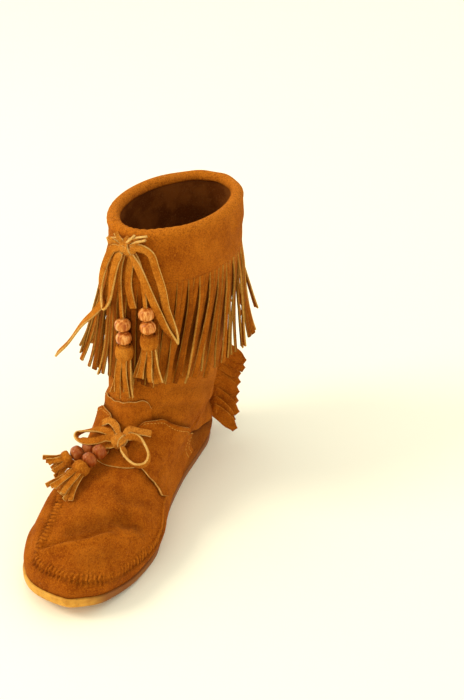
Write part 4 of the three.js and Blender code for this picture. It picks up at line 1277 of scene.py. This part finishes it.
# Outsole: thin amber crepe rubber, rounded at the edge, turned up at the toe and glued
# under the upper. It is clean at the toe and soiled behind it.
def crepe():
    """Cloudy amber rubber with dark grains, soiled behind the toe."""
    s = Shader("amber crepe", Roughness=0.55, Specular_IOR_Level=0.15)
    cloud = s.noise(14, 3, 0.6)
    fine = s.noise(1.4, 3, 0.6)
    color = s.mix((0.48, 0.18, 0.015, 1), (0.74, 0.36, 0.045, 1), cloud.step(0.3, 0.62))
    color = s.mix(color, (0.22, 0.10, 0.03, 1), fine.step(0.56, 0.72) * 0.45)
    color = s.mix(color, (0.20, 0.055, 0.012, 1), s.mark("soiled"))
    s.wire("Base Color", color)
    s.bump(cloud * 0.3 + fine * 0.7, 0.35, 0.7)
    return s.material


# Edge of the sole from the ground up: how far it lies in, and its share of the thickness
SOLE_EDGE = [
    (2.6, 0), (1.6, 0.01), (0.8, 0.08), (0.25, 0.22), (0, 0.42), (0, 0.62), (0.2, 0.74),
    (0.05, 0.84), (0.35, 0.95), (0.9, 1),
]
angle = turns * 2 * np.pi
share = (1 + np.cos(angle)) / 2
half_in, half_out = outline_half(share * SOLE_LENGTH)
half = np.where(np.sin(angle) >= 0, half_in, -half_out)
rings = []
for inset, height in SOLE_EDGE:
    x = mix(inset, SOLE_LENGTH - inset, share)
    y = half * (1 - 2 * inset / BALL_WIDTH)
    rings.append(np.stack([x, y, mix(sole_under(x), sole_top(x), height)], 1))
mesh = loft(rings)
soiled = 0.9 * (1 - ease(212, 236, mesh[0][:, 0] - 0.5 * mesh[0][:, 1]))
make("outsole", mesh, [crepe()], ["outsole"], {"soiled": soiled})


# Insole: dark leather sock on the sole inside, a flat slab with a rounded edge. It shows
# only through the collar.
def sock():
    """Dark leather with wear."""
    s = Shader("sock leather", Roughness=0.7)
    wear = s.noise(30, 3, 0.6)
    color = s.mix((0.05, 0.02, 0.01, 1), (0.12, 0.05, 0.022, 1), wear.step(0.35, 0.65))
    s.wire("Base Color", color)
    s.bump(s.noise(0.8, 3, 0.7), 0.25)
    return s.material


base = skin(turns, 0)
out = skin_normal(turns, 0)
out[:, 2] = 0
out = unit(out)
rings = []
for inset, height in ((0.4, 0), (0.2, 0.5), (0.2, 2), (0.5, 2.6), (1.2, 3)):
    ring = base - out * (LEATHER + GAP + inset)
    ring[:, 2] = sole_top(ring[:, 0]) + GAP + height
    rings.append(ring)
make("insole", loft(rings), [sock()], ["insole"])


# Floor and light: a plain pale floor, a broad soft light from the left front and above,
# and a white surround.
def floor():
    """A wide matt plane just under the boot, for the render only."""
    s = Shader("pale floor", Roughness=0.75, Specular_IOR_Level=0.2)
    s.surface.inputs["Base Color"].default_value = (0.98, 0.95, 0.72, 1)
    bpy.ops.mesh.primitive_plane_add(size=12, location=(heel[0], heel[1], -0.0004))
    plane = bpy.context.object
    plane.name = "floor"
    plane.data.materials.append(s.material)


floor()


def lamp(at, aim, size, power, color):
    """A round soft light."""
    light = bpy.data.lights.new("key", "AREA")
    light.shape = "DISK"
    light.size = size
    light.energy = power
    light.color = color
    holder = bpy.data.objects.new("key", light)
    bpy.context.collection.objects.link(holder)
    back = unit(np.array(at, float) - np.array(aim, float))
    side, face = crosswise(back, (0, 0, 1))
    matrix = np.eye(4)
    matrix[:3] = np.stack([side, face, back, at], 1)
    holder.matrix_world = Matrix(matrix.tolist())


lamp((0.75, -1.35, 1.45), (0, 0, 0.08), 0.8, 19, (1, 0.95, 0.86))
world = bpy.data.worlds.new("surround")
bpy.context.scene.world = world
world.use_nodes = True
background = world.node_tree.nodes["Background"].inputs
background["Color"].default_value = (1, 0.99, 0.97, 1)
background["Strength"].default_value = 1.12
